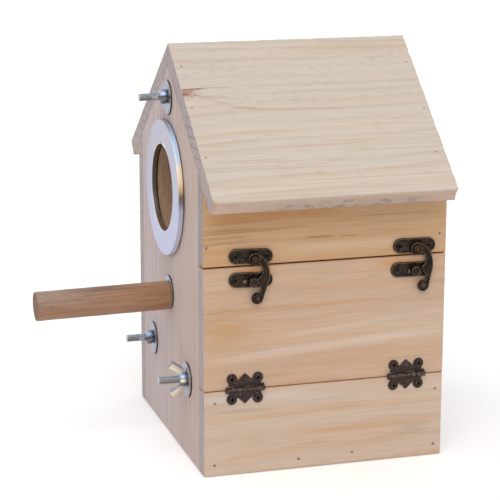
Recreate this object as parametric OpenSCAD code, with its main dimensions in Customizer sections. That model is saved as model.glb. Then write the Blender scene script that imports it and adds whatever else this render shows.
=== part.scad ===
// Bird nest box: gable roof, round entry with a metal guard ring, perch, and a drop-down side door.
// Millimetres, +Z up. The origin is the centre of the underside of the box. The entry gable
// faces -Y and the door side faces +X.

/* [Box] */
// Outside width of the box, across the gable
box_width = 172; // [140:2:220]
// Outside depth of the box, from gable to gable
box_depth = 160; // [130:2:210]
// Height of a side wall where its outer face meets the roof
side_height = 185; // [170:1:240]
// Thickness of the floor and of every wall board
board = 12; // [9:0.5:15]
// Small bevel along every sawn edge
edge_ease = 0.4; // [0.1:0.1:1]

/* [Roof] */
// Pitch of each roof board, in degrees
roof_pitch = 36.8; // [30:0.1:42]
// Thickness of the roof boards
roof_board = 12; // [9:0.5:15]
// How far the lower corner of the eave stands out from the side wall
eave_overhang = 17.4; // [8:0.2:30]
// How far the roof runs past the back wall at the ridge
roof_back = 1.4; // [0:0.2:10]
// How much shorter the right roof board is at its eave, where the saw ran off square
eave_back_short = 3.8; // [0:0.2:5]

/* [Door side] */
// Height of the seam between the lower board and the door
door_bottom = 55.9; // [50:0.5:62]
// Height of the seam between the door and the upper board
door_top = 135.6; // [126:0.5:145]
// Open joint above the door
door_top_gap = 0.7; // [0.4:0.1:2]
// Lean of the joint above the door, lower inside so that the door swings clear, in degrees
seam_lean = 6; // [5:0.5:8]
// Joint below the door and behind it
door_gap = 0.3; // [0.2:0.1:1]

/* [Entry] */
// Diameter of the opening in the guard ring
entry_d = 57; // [40:1:64]
// Outside diameter of the guard ring
ring_d = 89; // [76:1:92]
// Thickness of the flat guard ring
ring_thickness = 3.5; // [1.5:0.1:4.5]
// Thickness of the spacer flange hidden behind the ring
ring_standoff = 0.4; // [0.3:0.1:2]
// Height of the entry centre
entry_z = 169.4; // [160:0.2:172]
// Sideways offset of the entry from the middle of the gable
entry_x = -3.4; // [-6:0.2:6]

/* [Perch] */
// Diameter of the perch dowel
perch_d = 19.2; // [12:0.2:25]
// Length of the perch dowel
perch_length = 89; // [60:1:120]
// Height of the perch axis at the wall
perch_z = 97.2; // [85:0.2:105]
// How far the tip of the perch sags, in degrees
perch_sag = 0.9; // [0:0.1:2]
// How far the perch screw sits above the centre of the dowel
perch_screw_rise = 2; // [0:0.2:4]

/* [Hanger bolts] */
// Thread diameter of the hanger bolts
bolt_d = 5; // [4:0.5:6]
// How far the bolts stand out of the wall
bolt_reach = 19.5; // [16:0.5:30]
// Height of the top bolt
top_bolt_z = 229.8; // [227:0.2:231]
// Height of the lower pair of bolts
low_bolt_z = 54.4; // [40:0.2:60]
// Distance between the lower pair of bolts
low_bolt_spacing = 92.4; // [70:0.2:110]
// Height difference of the lower pair, which was drilled out of level
low_bolt_skew = 2.4; // [0:0.2:4]
// Outside diameter of the washers
washer_d = 22.6; // [15:0.2:24]
// Thickness of the washers
washer_t = 1.2; // [0.8:0.1:2]
// Span of a wing nut over both wings
wing_span = 24.4; // [20:0.2:28]

/* [Latches] */
// Length of a latch plate
plate_length = 28.4; // [26:0.2:32]
// Width of the hook plate and of the keeper plate
plate_width = 9.6; // [9:0.2:11]
// Height of the hook pivot above the keeper post
hook_reach = 14.4; // [14.4:0.1:15]
// Height of the hook pivots above the top seam of the door
pivot_rise = 4.3; // [3.8:0.1:5]
// Distance from the front of the box to the front latch pivot
front_latch_y = 32.1; // [28:0.1:40]
// Distance from the back of the box to the back latch pivot
back_latch_y = 20.6; // [18:0.1:30]

/* [Hinges] */
// Length of the hinge knuckle
hinge_length = 25.2; // [22:0.2:30]
// Height of the hinge axis above the lower seam
hinge_rise = 0.7; // [0:0.1:1.2]
// Distance from the front of the box to the middle of the front hinge
front_hinge_y = 26.6; // [22:0.2:40]
// Distance from the back of the box to the middle of the back hinge
back_hinge_y = 25.5; // [22:0.2:40]

/* [Hidden] */
$fn = 48;

// Box
half_width = box_width / 2;
half_depth = box_depth / 2;
inner_half = half_width - board;
ridge_under = side_height + half_width * tan(roof_pitch);
ridge_top = ridge_under + roof_board / cos(roof_pitch);

// Entry and perch
wall_hole_d = entry_d + 1;
ring_seat_d = ring_d - 9;
// Extra length that lets a cut pass through both faces
cut = 1;
ring_corner = 0.4;
ring_bevel = 0.3;
perch_base_y = -half_depth - washer_t;
perch_screw_z = perch_z + perch_screw_rise;
perch_tip_bevel = 1;
screw_d = 5;
perch_screw_bite = 25;
shank_clearance = 0.25;

// Hanger bolts: the thread under a nut is drawn at its pitch diameter
thread_pitch_d = bolt_d - 0.5;
thread_clearance = 0.05;
bolt_head_d = bolt_d * 1.9;
bolt_head_t = bolt_d * 0.6;
bolt_tip_bevel = 0.5;
thread_relief = 0.3;
nut_height = bolt_d;
// The washers have loose holes, so they hang below the bolt's centre until the nut is tight
washer_hole = bolt_d + 1.4;
washer_drop = 0.65;
bolt_spots = [
    [0, top_bolt_z],
    [-low_bolt_spacing / 2, low_bolt_z + low_bolt_skew / 2],
    [low_bolt_spacing / 2, low_bolt_z - low_bolt_skew / 2]
];
// Turn of each wing nut on its bolt, from wings upright
wing_turns = [95, 99, 8];
wing_root = 2.8;
wing_foot = [5.6, 0.5];
wing_knee = [8.4, 3.1];
wing_crotch = [4.3, 5.4];
wing_rise = 8.6;
wing_lean = 34.5;
wing_tip_w = 5.4;
wing_corner = 0.6;
wing_t = 2.2;
// Profile of the hub: distance in from its widest radius, and height as a share of the nut
hub_r = nut_height * 0.96;
hub_profile = [
    [0.4, 0], [0.1, 0.08], [0, 0.24], [0, 0.44], [0.2, 0.66], [0.6, 0.84], [1.1, 0.96], [1.6, 1]
];

// Latches, in plate coordinates: first along the depth of the box, then up, then outwards
plate_t = 1;
plate_rim = 0.6;
rim_width = 0.8;
pivot_z = door_top + pivot_rise;
post_z = pivot_z - hook_reach;
post_shift = -0.8;
boss_d = 4.6;
boss_t = 1.75;
nub = [1.4, 0.8, 1.2];
hook_lift = 1.8;
hook_t = 1.4;
hook_knob = [2.3, -hook_reach - 10.5];
hook_knob_r = 3.7;
hook_knob_dome = 2.2;
hook_step = 0.4;
rivet_d = 2.4;
post_d = 2.8;
post_play = 0.3;
plate_screw_x = 10;
plate_screw_d = 2.2;
screw_seat = [0.7, 0.5];
rivet_head = [2.6, 1.2, 3.4];
post_rim = 3.2;
post_head_t = 1.2;
post_dish = 0.5;
latch_spots = [-half_depth + front_latch_y, half_depth - back_latch_y];
// The two latches were put on by eye. For the front and the back one: the middle of the hook
// plate from the pivot, the middle of the keeper plate and the nub from the post, the turn of
// the plates, and how far round the hook stands
plate_spots = [[-1.9, 1.8], [-1.2, 1.7]];
keeper_spots = [[-1.1, 1.2], [-1.7, 0.6]];
nub_spots = [[-5, 0.4], [-3.6, -0.3]];
plate_turns = [-1.8, -1];
hook_turns = [-1, 5.8];

// Hinges
hinge_axis_out = 1.9;
knuckle_d = 3.5;
hinge_pin_d = 1.4;
pin_clearance = 0.05;
leaf_t = 0.9;
knuckle_count = 4;
knuckle_gap = 0.15;
leaf_start = knuckle_d / 2 + 0.3;
leaf_half = 10.6;
leaf_tip = [0.4, 9.7];
leaf_valley = [4.4, 5.9];
lobe = [8.5, 6.7];
lobe_r = 3.4;
lobe_hole_r = 1.2;
lobe_foot = lobe.y - 1.6;
hinge_z = door_bottom + hinge_rise;
hinge_spots = [-half_depth + front_hinge_y, half_depth - back_hinge_y];

pine = [0.83, 0.70, 0.53];
pine_face = [0.74, 0.66, 0.60];
beech = [0.62, 0.42, 0.30];
zinc = [0.75, 0.75, 0.76];
bright = [0.86, 0.87, 0.92];
bronze = [0.22, 0.17, 0.12];

// A drawing on the entry gable: local X runs across, local Y up, local Z out of the wall
module on_front(x, z) {
    translate([x, -half_depth, z]) rotate([90, 0, 0]) children();
}

// A drawing on the door side: local X runs towards the back, local Y up, local Z out of the side
module on_side(y, z) {
    translate([half_width, y, z]) rotate([90, 0, 90]) children();
}

// Outline of a rectangle with bevelled corners
module eased_rectangle(width, height) {
    polygon([
        [edge_ease, 0], [width - edge_ease, 0], [width, edge_ease], [width, height - edge_ease],
        [width - edge_ease, height], [edge_ease, height], [0, height - edge_ease], [0, edge_ease]
    ]);
}

// A sawn board from one corner, every edge eased
module sawn_board(size) {
    intersection() {
        linear_extrude(size.z) eased_rectangle(size.x, size.y);
        translate([0, size.y, 0]) rotate([90, 0, 0]) linear_extrude(size.y)
            eased_rectangle(size.x, size.z);
        rotate([90, 0, 90]) linear_extrude(size.x) eased_rectangle(size.y, size.z);
    }
}

// A profile drawn in X and Z, extruded towards the back from a given Y
module along_depth(from, length) {
    translate([0, from + length, 0]) rotate([90, 0, 0]) linear_extrude(length) children();
}

// The space under the roof, seen from the front
module gable_outline() {
    polygon([
        [-half_width, 0], [half_width, 0], [half_width, side_height], [0, ridge_under],
        [-half_width, side_height]
    ]);
}

// Gable wall that stands between the side boards
module gable_wall() {
    intersection() {
        translate([-inner_half, 0, 0]) sawn_board([2 * inner_half, board, ridge_top]);
        along_depth(0, board) gable_outline();
    }
}

// Side board between two heights, its top cut to the roof where it reaches that far
module side_board(bottom, top) {
    intersection() {
        translate([inner_half, -half_depth, bottom]) sawn_board([board, box_depth, top - bottom]);
        along_depth(-half_depth, box_depth) gable_outline();
    }
}

// Everything on the door side below a saw cut that leans down towards the inside
module below_seam(outer_z) {
    slope = tan(seam_lean);
    along_depth(-half_depth - cut, box_depth + 2 * cut) translate([half_width, 0]) polygon([
        [-board - cut, 0], [cut, 0],
        [cut, outer_z + cut * slope], [-board - cut, outer_z - (board + cut) * slope]
    ]);
}

module floor_board() {
    color(pine) translate([-inner_half, -half_depth + board, 0])
        sawn_board([2 * inner_half, box_depth - 2 * board, board]);
}

module front_wall() {
    color(pine_face) difference() {
        translate([0, -half_depth, 0]) gable_wall();
        on_front(entry_x, entry_z) translate([0, 0, -board - cut])
            cylinder(d = wall_hole_d, h = board + 2 * cut, $fn = 96);
        for (spot = bolt_spots)
            on_front(spot.x, spot.y) translate([0, 0, -board - cut])
                cylinder(d = bolt_d + 2 * shank_clearance, h = board + 2 * cut);
        on_front(0, perch_screw_z) translate([0, 0, -board - cut])
            cylinder(d = screw_d + 2 * shank_clearance, h = board + 2 * cut);
    }
}

module back_wall() {
    color(pine_face) translate([0, half_depth - board, 0]) gable_wall();
}

module left_wall() {
    color(pine) mirror([1, 0, 0]) side_board(0, ridge_top);
}

module right_upper_board() {
    bottom = door_top + door_top_gap / 2;
    color(pine) difference() {
        side_board(bottom - board * tan(seam_lean), ridge_top);
        below_seam(bottom);
    }
}

module right_lower_board() {
    color(pine) side_board(0, door_bottom - door_gap / 2);
}

module door_board() {
    bottom = door_bottom + door_gap / 2;
    top = door_top - door_top_gap / 2;
    color(pine) intersection() {
        translate([inner_half + door_gap, -half_depth, bottom])
            sawn_board([board - door_gap, box_depth, top - bottom]);
        below_seam(top);
    }
}

// Cross-section of one roof board: mitred at the ridge, cut square at the eave
module roof_section() {
    eave_x = half_width + eave_overhang;
    eave_z = ridge_under - eave_x * tan(roof_pitch);
    polygon([
        [0, ridge_under], [eave_x, eave_z],
        [eave_x + roof_board * sin(roof_pitch), eave_z + roof_board * cos(roof_pitch)],
        [0, ridge_top]
    ]);
}

// A roof board whose back end is shorter by short_eave at the eave than at the ridge
module roof_half(short_eave) {
    run = half_width + eave_overhang + roof_board;
    back = half_depth + roof_back;
    intersection() {
        along_depth(-half_depth, back + half_depth) roof_section();
        linear_extrude(ridge_top)
            polygon([[0, -half_depth], [run, -half_depth], [run, back - short_eave], [0, back]]);
    }
}

module roof_right() {
    color(pine) roof_half(eave_back_short);
}

module roof_left() {
    color(pine) mirror([1, 0, 0]) roof_half(0);
}

// Flat guard ring on a narrower spacer flange, its outer corner rounded
module entry_ring() {
    corner = ring_corner;
    face = ring_standoff + ring_thickness;
    inner = entry_d / 2;
    outer = ring_d / 2;
    color(bright) on_front(entry_x, entry_z) rotate_extrude($fn = 96) {
        translate([inner, 0]) square([ring_seat_d / 2 - inner, ring_standoff]);
        polygon(concat(
            [[inner, ring_standoff], [outer, ring_standoff]],
            arc([outer - corner, face - corner], corner, 0, 90, 6),
            [[inner + ring_bevel, face], [inner, face - ring_bevel]]
        ));
    }
}

module perch() {
    dowel = perch_length + perch_d;
    color(beech) difference() {
        translate([0, perch_base_y, perch_z]) rotate([90 + perch_sag, 0, 0]) difference() {
            translate([0, 0, -perch_d]) cylinder(d = perch_d, h = dowel, $fn = 64);
            translate([0, 0, perch_length - perch_tip_bevel]) rotate_extrude($fn = 64)
                polygon([
                    [perch_d / 2 - perch_tip_bevel, perch_tip_bevel],
                    [perch_d / 2 + perch_tip_bevel, perch_tip_bevel],
                    [perch_d / 2 + perch_tip_bevel, -perch_tip_bevel]
                ]);
        }
        translate([-perch_d, perch_base_y, perch_z - perch_d])
            cube([2 * perch_d, 2 * perch_d, 2 * perch_d]);
        on_front(0, perch_screw_z) cylinder(d = screw_d, h = washer_t + perch_screw_bite);
    }
}

module washer(hole) {
    difference() {
        cylinder(d = washer_d, h = washer_t, $fn = 64);
        translate([0, 0, -cut]) cylinder(d = hole, h = washer_t + 2 * cut);
    }
}

module hanger_washer(spot) {
    color(zinc) on_front(spot.x, spot.y - washer_drop) washer(washer_hole);
}

module perch_washer() {
    color(zinc) on_front(0, perch_screw_z) washer(screw_d + 2 * shank_clearance);
}

// Pan-headed screw, driven from inside the box
module perch_screw() {
    color(zinc) on_front(0, perch_screw_z) translate([0, 0, -board]) {
        cylinder(d = screw_d, h = board + washer_t + perch_screw_bite);
        bolt_head(screw_d * 1.9, screw_d * 0.6);
    }
}

// Domed head that lies against the inside of the wall
module bolt_head(head_d, head_t) {
    rotate([180, 0, 0]) rotate_extrude() intersection() {
        translate([0, head_t - head_d * 0.75]) circle(r = head_d * 0.75, $fn = 96);
        square([head_d / 2, head_t]);
    }
}

module hanger_bolt(spot) {
    thread_start = washer_t + nut_height + thread_relief;
    color(zinc) on_front(spot.x, spot.y) {
        translate([0, 0, -board]) bolt_head(bolt_head_d, bolt_head_t);
        translate([0, 0, -board]) cylinder(d = bolt_d, h = board);
        cylinder(d = thread_pitch_d, h = thread_start);
        translate([0, 0, thread_start])
            cylinder(d = bolt_d, h = bolt_reach - thread_start - bolt_tip_bevel);
        translate([0, 0, bolt_reach - bolt_tip_bevel])
            cylinder(d1 = bolt_d, d2 = bolt_d - 2 * bolt_tip_bevel, h = bolt_tip_bevel, $fn = 48);
    }
}

// Outline of one wing: it rises from the foot of the hub and leans out to a square tip
module wing_outline() {
    along = [sin(wing_lean), cos(wing_lean)];
    across = [-cos(wing_lean), sin(wing_lean)];
    tip = [wing_span / 2, wing_rise] - wing_corner * along;
    polygon(concat(
        [[wing_root, wing_foot.y], wing_foot, wing_knee],
        arc(tip + wing_corner * across, wing_corner, -wing_lean, 90 - wing_lean, 6),
        arc(tip + (wing_tip_w - wing_corner) * across, wing_corner, 90 - wing_lean, 180 - wing_lean, 6),
        [wing_crotch, [wing_root, wing_crotch.y - wing_crotch.x + wing_root]]
    ));
}

// Barrel-shaped hub, from the washer outwards
module wing_nut_hub() {
    side = [for (p = hub_profile) [hub_r - p[0], nut_height * p[1]]];
    rotate_extrude() polygon(concat([[0, 0]], side, [[0, nut_height]]));
}

module wing_nut(spot, turn) {
    color(zinc) on_front(spot.x, spot.y) translate([0, 0, washer_t]) rotate(turn) difference() {
        union() {
            wing_nut_hub();
            for (side = [90, 270])
                rotate(side) translate([0, wing_t / 2, 0]) rotate([90, 0, 0])
                    linear_extrude(wing_t) wing_outline();
        }
        translate([0, 0, -cut])
            cylinder(d = thread_pitch_d + 2 * thread_clearance, h = nut_height + 2 * cut);
    }
}

// Plate outline: a bar with round ends, smaller all round by inset
module plate_outline(inset) {
    reach = (plate_length - plate_width) / 2;
    translate([-reach, 0]) circle(d = plate_width - 2 * inset);
    translate([reach, 0]) circle(d = plate_width - 2 * inset);
    translate([-reach, -plate_width / 2 + inset]) square([2 * reach, plate_width - 2 * inset]);
}

// Latch plate with a raised rim and two screw holes; its centre is at the local origin
module latch_plate() {
    difference() {
        union() {
            linear_extrude(plate_t) plate_outline(0);
            linear_extrude(plate_t + plate_rim) difference() {
                plate_outline(0);
                plate_outline(rim_width);
            }
        }
        for (x = [-plate_screw_x, plate_screw_x]) {
            translate([x, 0, -cut]) cylinder(d = plate_screw_d, h = plate_t + 2 * cut);
            translate([x, 0, plate_t - screw_seat[1]])
                cylinder(r1 = plate_screw_d / 2, r2 = plate_screw_d / 2 + screw_seat[0], h = screw_seat[0]);
        }
    }
}

// Plate on the upper board, with the boss that the hook turns on
module hook_plate(i) {
    color(bronze) on_side(latch_spots[i], pivot_z) difference() {
        union() {
            translate(plate_spots[i]) rotate(plate_turns[i]) latch_plate();
            cylinder(d = boss_d, h = boss_t);
        }
        translate([0, 0, -cut]) cylinder(d = rivet_d, h = hook_lift + 2 * cut);
    }
}

// Rivet with a domed head that carries the hook
module hook_rivet(i) {
    head = hook_lift + hook_t + 0.1;
    color(bronze) on_side(latch_spots[i], pivot_z) {
        cylinder(d = rivet_d, h = head);
        translate([0, 0, head]) rotate_extrude() intersection() {
            translate([0, rivet_head[1] - rivet_head[2]]) circle(r = rivet_head[2], $fn = 96);
            square([rivet_head[0], rivet_head[1] + cut]);
        }
    }
}

function arc(centre, r, from, to, steps) =
    [for (i = [0:steps]) let (a = from + (to - from) * i / steps) centre + r * [cos(a), sin(a)]];

function heading(from, to) = atan2(to.y - from.y, to.x - from.x);

// Point where two circles cross, on the right of the line from the first centre to the second
function crossing(c1, r1, c2, r2) =
    let (d = norm(c2 - c1), a = (d * d + r1 * r1 - r2 * r2) / (2 * d), u = (c2 - c1) / d)
    c1 + a * u + sqrt(r1 * r1 - a * a) * [-u.y, u.x];

// Heading of the normal of the straight line that touches both circles on their outer side
function tangent_heading(c1, r1, c2, r2) = heading(c1, c2) + acos((r1 - r2) / norm(c2 - c1));

// Outline of the hook, pivot at the origin, hanging down to its round thumb knob. The inset
// draws the same outline smaller all round: convex arcs lose radius and hollow ones gain it.
function hook_outline(inset) = let (
    eye = 4 - inset,
    back = [-7.6, -10], back_r = 17.7 - inset,
    knob = hook_knob, knob_r = hook_knob_r - inset,
    shoulder_a = 22.2,
    shoulder_p = back + back_r * [cos(shoulder_a), sin(shoulder_a)],
    shoulder_n = [cos(shoulder_a), sin(shoulder_a)],
    shoulder_r = (shoulder_p * shoulder_p - eye * eye) / (2 * (shoulder_p * shoulder_n - eye)),
    shoulder = shoulder_p - shoulder_r * shoulder_n,
    throat = [0.2, -7.3], throat_r = 5.2 + inset,
    post = [0, -hook_reach], post_r = post_d / 2 + post_play + inset,
    neck = [0.6, -hook_reach - 4.2], neck_r = 3.8 + inset,
    side_a = tangent_heading(back, back_r, knob, knob_r),
    eye_p = crossing([0, 0], eye, throat, throat_r),
    knob_p = crossing(neck, neck_r, knob, knob_r),
    claw_a = -72 + inset * 14
) concat(
    arc(knob, knob_r, heading(knob, knob_p), 360 + side_a, 20),
    arc(back, back_r, side_a, shoulder_a, 10),
    arc(shoulder, shoulder_r, shoulder_a, heading(shoulder, [0, 0]), 8),
    arc([0, 0], eye, heading(shoulder, [0, 0]), 360 + heading([0, 0], eye_p), 20),
    arc(throat, throat_r, heading(throat, eye_p), claw_a, 14),
    arc(post, post_r, 30, -38, 6),
    arc(neck, neck_r, 56, heading(neck, knob_p), 8)
);

// Horn-shaped hook: a flat cast arm with a stepped edge, an eye for the rivet, a seat that
// closes round the keeper post, and a domed thumb knob
module latch_hook(i) {
    step = hook_step;
    color(bronze) on_side(latch_spots[i], pivot_z) translate([0, 0, hook_lift])
        rotate(hook_turns[i]) difference() {
            union() {
                linear_extrude(hook_t - step) polygon(hook_outline(0));
                linear_extrude(hook_t) polygon(hook_outline(step));
                translate(hook_knob) rotate_extrude() polygon(concat(
                    [[0, 0], [hook_knob_r - step, 0]],
                    [for (a = [0:9:90]) [hook_knob_r * cos(a), step + hook_knob_dome * sin(a)]]
                ));
            }
            translate([0, 0, -cut])
                cylinder(d = rivet_d + 2 * pin_clearance, h = hook_t + 2 * cut);
        }
}

// Plate on the door, with the nub that the closing hook rides over
module keeper_plate(i) {
    color(bronze) on_side(latch_spots[i] + post_shift, post_z) difference() {
        union() {
            translate(keeper_spots[i]) rotate(plate_turns[i]) latch_plate();
            translate(nub_spots[i]) cylinder(r1 = nub[0], r2 = nub[1], h = plate_t + nub[2]);
        }
        translate([0, 0, -cut]) cylinder(d = post_d, h = plate_t + 2 * cut);
    }
}

// Mushroom post that the hook closes round, its head dished
module keeper_post(i) {
    under = hook_lift + hook_t + post_play;
    top = under + post_head_t;
    r = post_rim;
    color(bronze) on_side(latch_spots[i] + post_shift, post_z) rotate_extrude()
        polygon([
            [0, 0], [post_d / 2, 0], [post_d / 2, under], [r - 0.2, under], [r, under + 0.3],
            [r, top - 0.3], [r - 0.4, top], [r - 0.9, top], [r - 1.4, top - 0.8 * post_dish],
            [0, top - post_dish]
        ]);
}

// Outline of one hinge leaf above the knuckle: two screw lobes and a point between them
module leaf_outline() {
    difference() {
        union() {
            for (side = [-1, 1]) {
                polygon([
                    [0, leaf_start], [side * leaf_half, leaf_start], [side * leaf_half, lobe_foot],
                    [side * lobe.x, lobe.y], [side * leaf_valley.x, leaf_valley.y],
                    [side * leaf_tip.x, leaf_tip.y], [0, leaf_tip.y]
                ]);
                translate([side * lobe.x, lobe.y]) circle(r = lobe_r);
            }
        }
        for (side = [-1, 1]) translate([side * lobe.x, lobe.y]) circle(r = lobe_hole_r);
    }
}

// A hinge leaf that carries every second knuckle, starting with the given one
module hinge_leaf(first) {
    pitch = hinge_length / knuckle_count;
    out = hinge_axis_out;
    difference() {
        union() {
            linear_extrude(leaf_t) leaf_outline();
            for (i = [first:2:knuckle_count - 1]) translate([-hinge_length / 2 + i * pitch, 0, 0]) {
                translate([knuckle_gap / 2, 0, out - knuckle_d / 2])
                    cube([pitch - knuckle_gap, leaf_start + 0.4, leaf_t - out + knuckle_d / 2]);
                translate([knuckle_gap / 2, 0, out]) rotate([0, 90, 0])
                    cylinder(d = knuckle_d, h = pitch - knuckle_gap);
            }
        }
        translate([-hinge_length, 0, out]) rotate([0, 90, 0])
            cylinder(d = hinge_pin_d + 2 * pin_clearance, h = 2 * hinge_length);
    }
}

module hinge_upper(y) {
    color(bronze) on_side(y, hinge_z) hinge_leaf(1);
}

module hinge_lower(y) {
    color(bronze) on_side(y, hinge_z) mirror([0, 1, 0]) hinge_leaf(0);
}

// Hinge pin with upset ends that keep it in the knuckle
module hinge_pin(y) {
    end_t = 0.4;
    color(bronze) on_side(y, hinge_z) translate([-hinge_length / 2, 0, hinge_axis_out]) rotate([0, 90, 0]) {
        cylinder(d = hinge_pin_d, h = hinge_length);
        translate([0, 0, -end_t]) cylinder(d = hinge_pin_d * 1.5, h = end_t);
        translate([0, 0, hinge_length]) cylinder(d = hinge_pin_d * 1.5, h = end_t);
    }
}

floor_board();
front_wall();
back_wall();
left_wall();
right_upper_board();
door_board();
right_lower_board();
roof_right();
roof_left();
entry_ring();
perch();
perch_washer();
perch_screw();
hanger_bolt(bolt_spots[0]);  // hanger_bolt_top
hanger_bolt(bolt_spots[1]);  // hanger_bolt_left
hanger_bolt(bolt_spots[2]);  // hanger_bolt_right
hanger_washer(bolt_spots[0]);  // washer_top
hanger_washer(bolt_spots[1]);  // washer_left
hanger_washer(bolt_spots[2]);  // washer_right
wing_nut(bolt_spots[0], wing_turns[0]);  // wing_nut_top
wing_nut(bolt_spots[1], wing_turns[1]);  // wing_nut_left
wing_nut(bolt_spots[2], wing_turns[2]);  // wing_nut_right
hook_plate(0);  // hook_plate_front
hook_plate(1);  // hook_plate_back
hook_rivet(0);  // hook_rivet_front
hook_rivet(1);  // hook_rivet_back
latch_hook(0);  // latch_hook_front
latch_hook(1);  // latch_hook_back
keeper_plate(0);  // keeper_plate_front
keeper_plate(1);  // keeper_plate_back
keeper_post(0);  // keeper_post_front
keeper_post(1);  // keeper_post_back
hinge_lower(hinge_spots[0]);  // hinge_lower_front
hinge_lower(hinge_spots[1]);  // hinge_lower_back
hinge_upper(hinge_spots[0]);  // hinge_upper_front
hinge_upper(hinge_spots[1]);  // hinge_upper_back
hinge_pin(hinge_spots[0]);  // hinge_pin_front
hinge_pin(hinge_spots[1]);  // hinge_pin_back
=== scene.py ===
"""Gabled bird nest box: grain, worn edges, fasteners, latches, hinges and a white studio."""

import math

import bmesh
import bpy
import numpy as np
from bpy.props import FloatProperty, FloatVectorProperty, IntProperty, PointerProperty
from mathutils import Matrix, Vector


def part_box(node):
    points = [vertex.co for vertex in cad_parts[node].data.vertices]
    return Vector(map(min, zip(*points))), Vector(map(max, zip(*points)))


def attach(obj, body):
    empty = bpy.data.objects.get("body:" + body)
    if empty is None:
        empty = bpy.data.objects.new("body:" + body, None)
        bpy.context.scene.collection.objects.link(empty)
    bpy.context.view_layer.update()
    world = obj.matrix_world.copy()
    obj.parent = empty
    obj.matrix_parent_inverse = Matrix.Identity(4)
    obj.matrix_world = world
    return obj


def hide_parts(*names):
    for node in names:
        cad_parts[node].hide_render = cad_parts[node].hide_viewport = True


bl_info = {
    "name": "Nest box finish",
    "version": (1, 0, 0),
    "blender": (4, 5, 0),
    "location": "3D Viewport > Sidebar > Nest Box",
    "description": "Makes the boards, metalwork and studio of a gabled bird nest box",
    "category": "Object",
}

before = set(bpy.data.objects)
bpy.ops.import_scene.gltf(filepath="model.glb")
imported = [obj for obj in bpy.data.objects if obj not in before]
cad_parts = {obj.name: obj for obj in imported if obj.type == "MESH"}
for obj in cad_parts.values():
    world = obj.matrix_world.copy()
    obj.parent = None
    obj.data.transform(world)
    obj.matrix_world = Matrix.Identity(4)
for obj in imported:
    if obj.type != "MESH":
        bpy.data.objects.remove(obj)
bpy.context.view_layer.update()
MM = 0.001
FRONT, SIDE = ((1, 0, 0), (0, 0, 1)), ((0, 1, 0), (0, 0, 1))  # right and up on two faces

# Sizes in millimetres that no node's box gives.
RING_WIDTH, RING_OVER_BORE = 16.0, 15.5  # ring's edge to its bore, and to the wall's bore
FLANGE, FLANGE_INSET = 0.4, 4.5
BOLT_RADIUS, THREAD_START = 2.5, 6.3
PAN_RADIUS, PAN_RISE = 4.75, 3.0
KNUCKLE_RADIUS, KNUCKLE_BORE, KNUCKLE_GAP = 1.75, 0.75, 0.15
PIN_RADIUS, PIN_HEAD_RADIUS, PIN_HEAD = 0.7, 1.05, 0.4
KNOB, KNOB_DROP = 2.3, 10.5  # the hook's thumb knob, across and below the post
LOBE = (8.5, 6.7)  # a hinge screw, from the middle of the hinge

# The studio: lengths in metres, but the camera's sensor in millimetres.
CAMERA_AT = (1.12338, -0.35716, 0.40526)
CAMERA_RIGHT, CAMERA_UP = (0.28342, 0.95899, 0.00177), (-0.22434, 0.06451, 0.97237)
SENSOR_MM, FAR_END = 36.0, 50.0
FLOOR_HALF, FLOOR_GAP = 6.0, 0.0005


# ---------------------------------------------------------------- places in the frame, in mm


def corners_of(node):
    """Lowest and highest corner of a CAD node, as arrays in millimetres."""
    low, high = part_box(node)
    return np.array(low) / MM, np.array(high) / MM


def centre_of(node):
    """Middle of a CAD node's box, in millimetres."""
    low, high = corners_of(node)
    return (low + high) / 2


# ---------------------------------------------------------------- settings


def tint(name, colour, words):
    """Property for a colour."""
    return FloatVectorProperty(
        name=name, description=words, subtype="COLOR", size=3, min=0, max=1, default=colour
    )


def length(name, value, words, low=0.0, high=200.0):
    """Property for a length: given here in millimetres, kept in metres."""
    return FloatProperty(
        name=name, description=words, unit="LENGTH", precision=5,
        default=value * MM, min=low * MM, max=high * MM,
    )


def slant(name, degrees, words):
    """Property for an angle, given here in degrees."""
    return FloatProperty(
        name=name, description=words, subtype="ANGLE", default=math.radians(degrees)
    )


def strength(name, value, words):
    """Property for how strong a light is."""
    return FloatProperty(name=name, description=words, default=value, min=0)


class NestBoxWood(bpy.types.PropertyGroup):
    """Timber of the boards and the perch."""

    roof: tint("Roof", (0.675, 0.595, 0.52), "Earlywood of the roof boards")
    roof_line: tint("Roof rings", (0.52, 0.35, 0.21), "Latewood of the roof boards")
    upper: tint("Upper board", (0.63, 0.405, 0.235), "Earlywood of the board above the door")
    door: tint("Door", (0.62, 0.43, 0.31), "Earlywood of the door")
    lower: tint("Lower board", (0.65, 0.50, 0.395), "Earlywood of the board below the door")
    side_line: tint("Side rings", (0.48, 0.24, 0.10), "Latewood of the side boards")
    gable: tint("Gables", (0.57, 0.475, 0.45), "Earlywood of the gable walls")
    gable_line: tint("Gable rings", (0.35, 0.23, 0.18), "Latewood of the gable walls")
    end: tint("End grain", (0.44, 0.375, 0.37), "Sawn end grain")
    dowel: tint("Perch", (0.425, 0.246, 0.157), "Hardwood of the perch")
    edge_ease: length("Edge wear", 0.45, "Radius of a worn board edge", 0.05, 2)
    seam_lean: slant("Seam lean", 6, "Lean of the saw cut above the door")
    roof_pitch: slant("Roof pitch", 36.8, "Slope of the roof boards")
    saw_drift: length(
        "Saw drift", 3.8, "How far the right roof board's back end falls short at its eave", 0, 9
    )
    seam_droop: length(
        "Seam droop", 0.4, "How much lower the board above the door is drawn at its back", 0, 1
    )
    eave_short: length("Short eave", 0.6, "How far a drawn eave stops short of the node", 0.0, 1.5)
    eave_chamfer: length("Eave chamfer", 1.0, "Chamfer drawn under an eave", 0.0, 3)
    nail_head: length("Nail head", 1.35, "Length of a brad's head", 0.5, 4)


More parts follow.
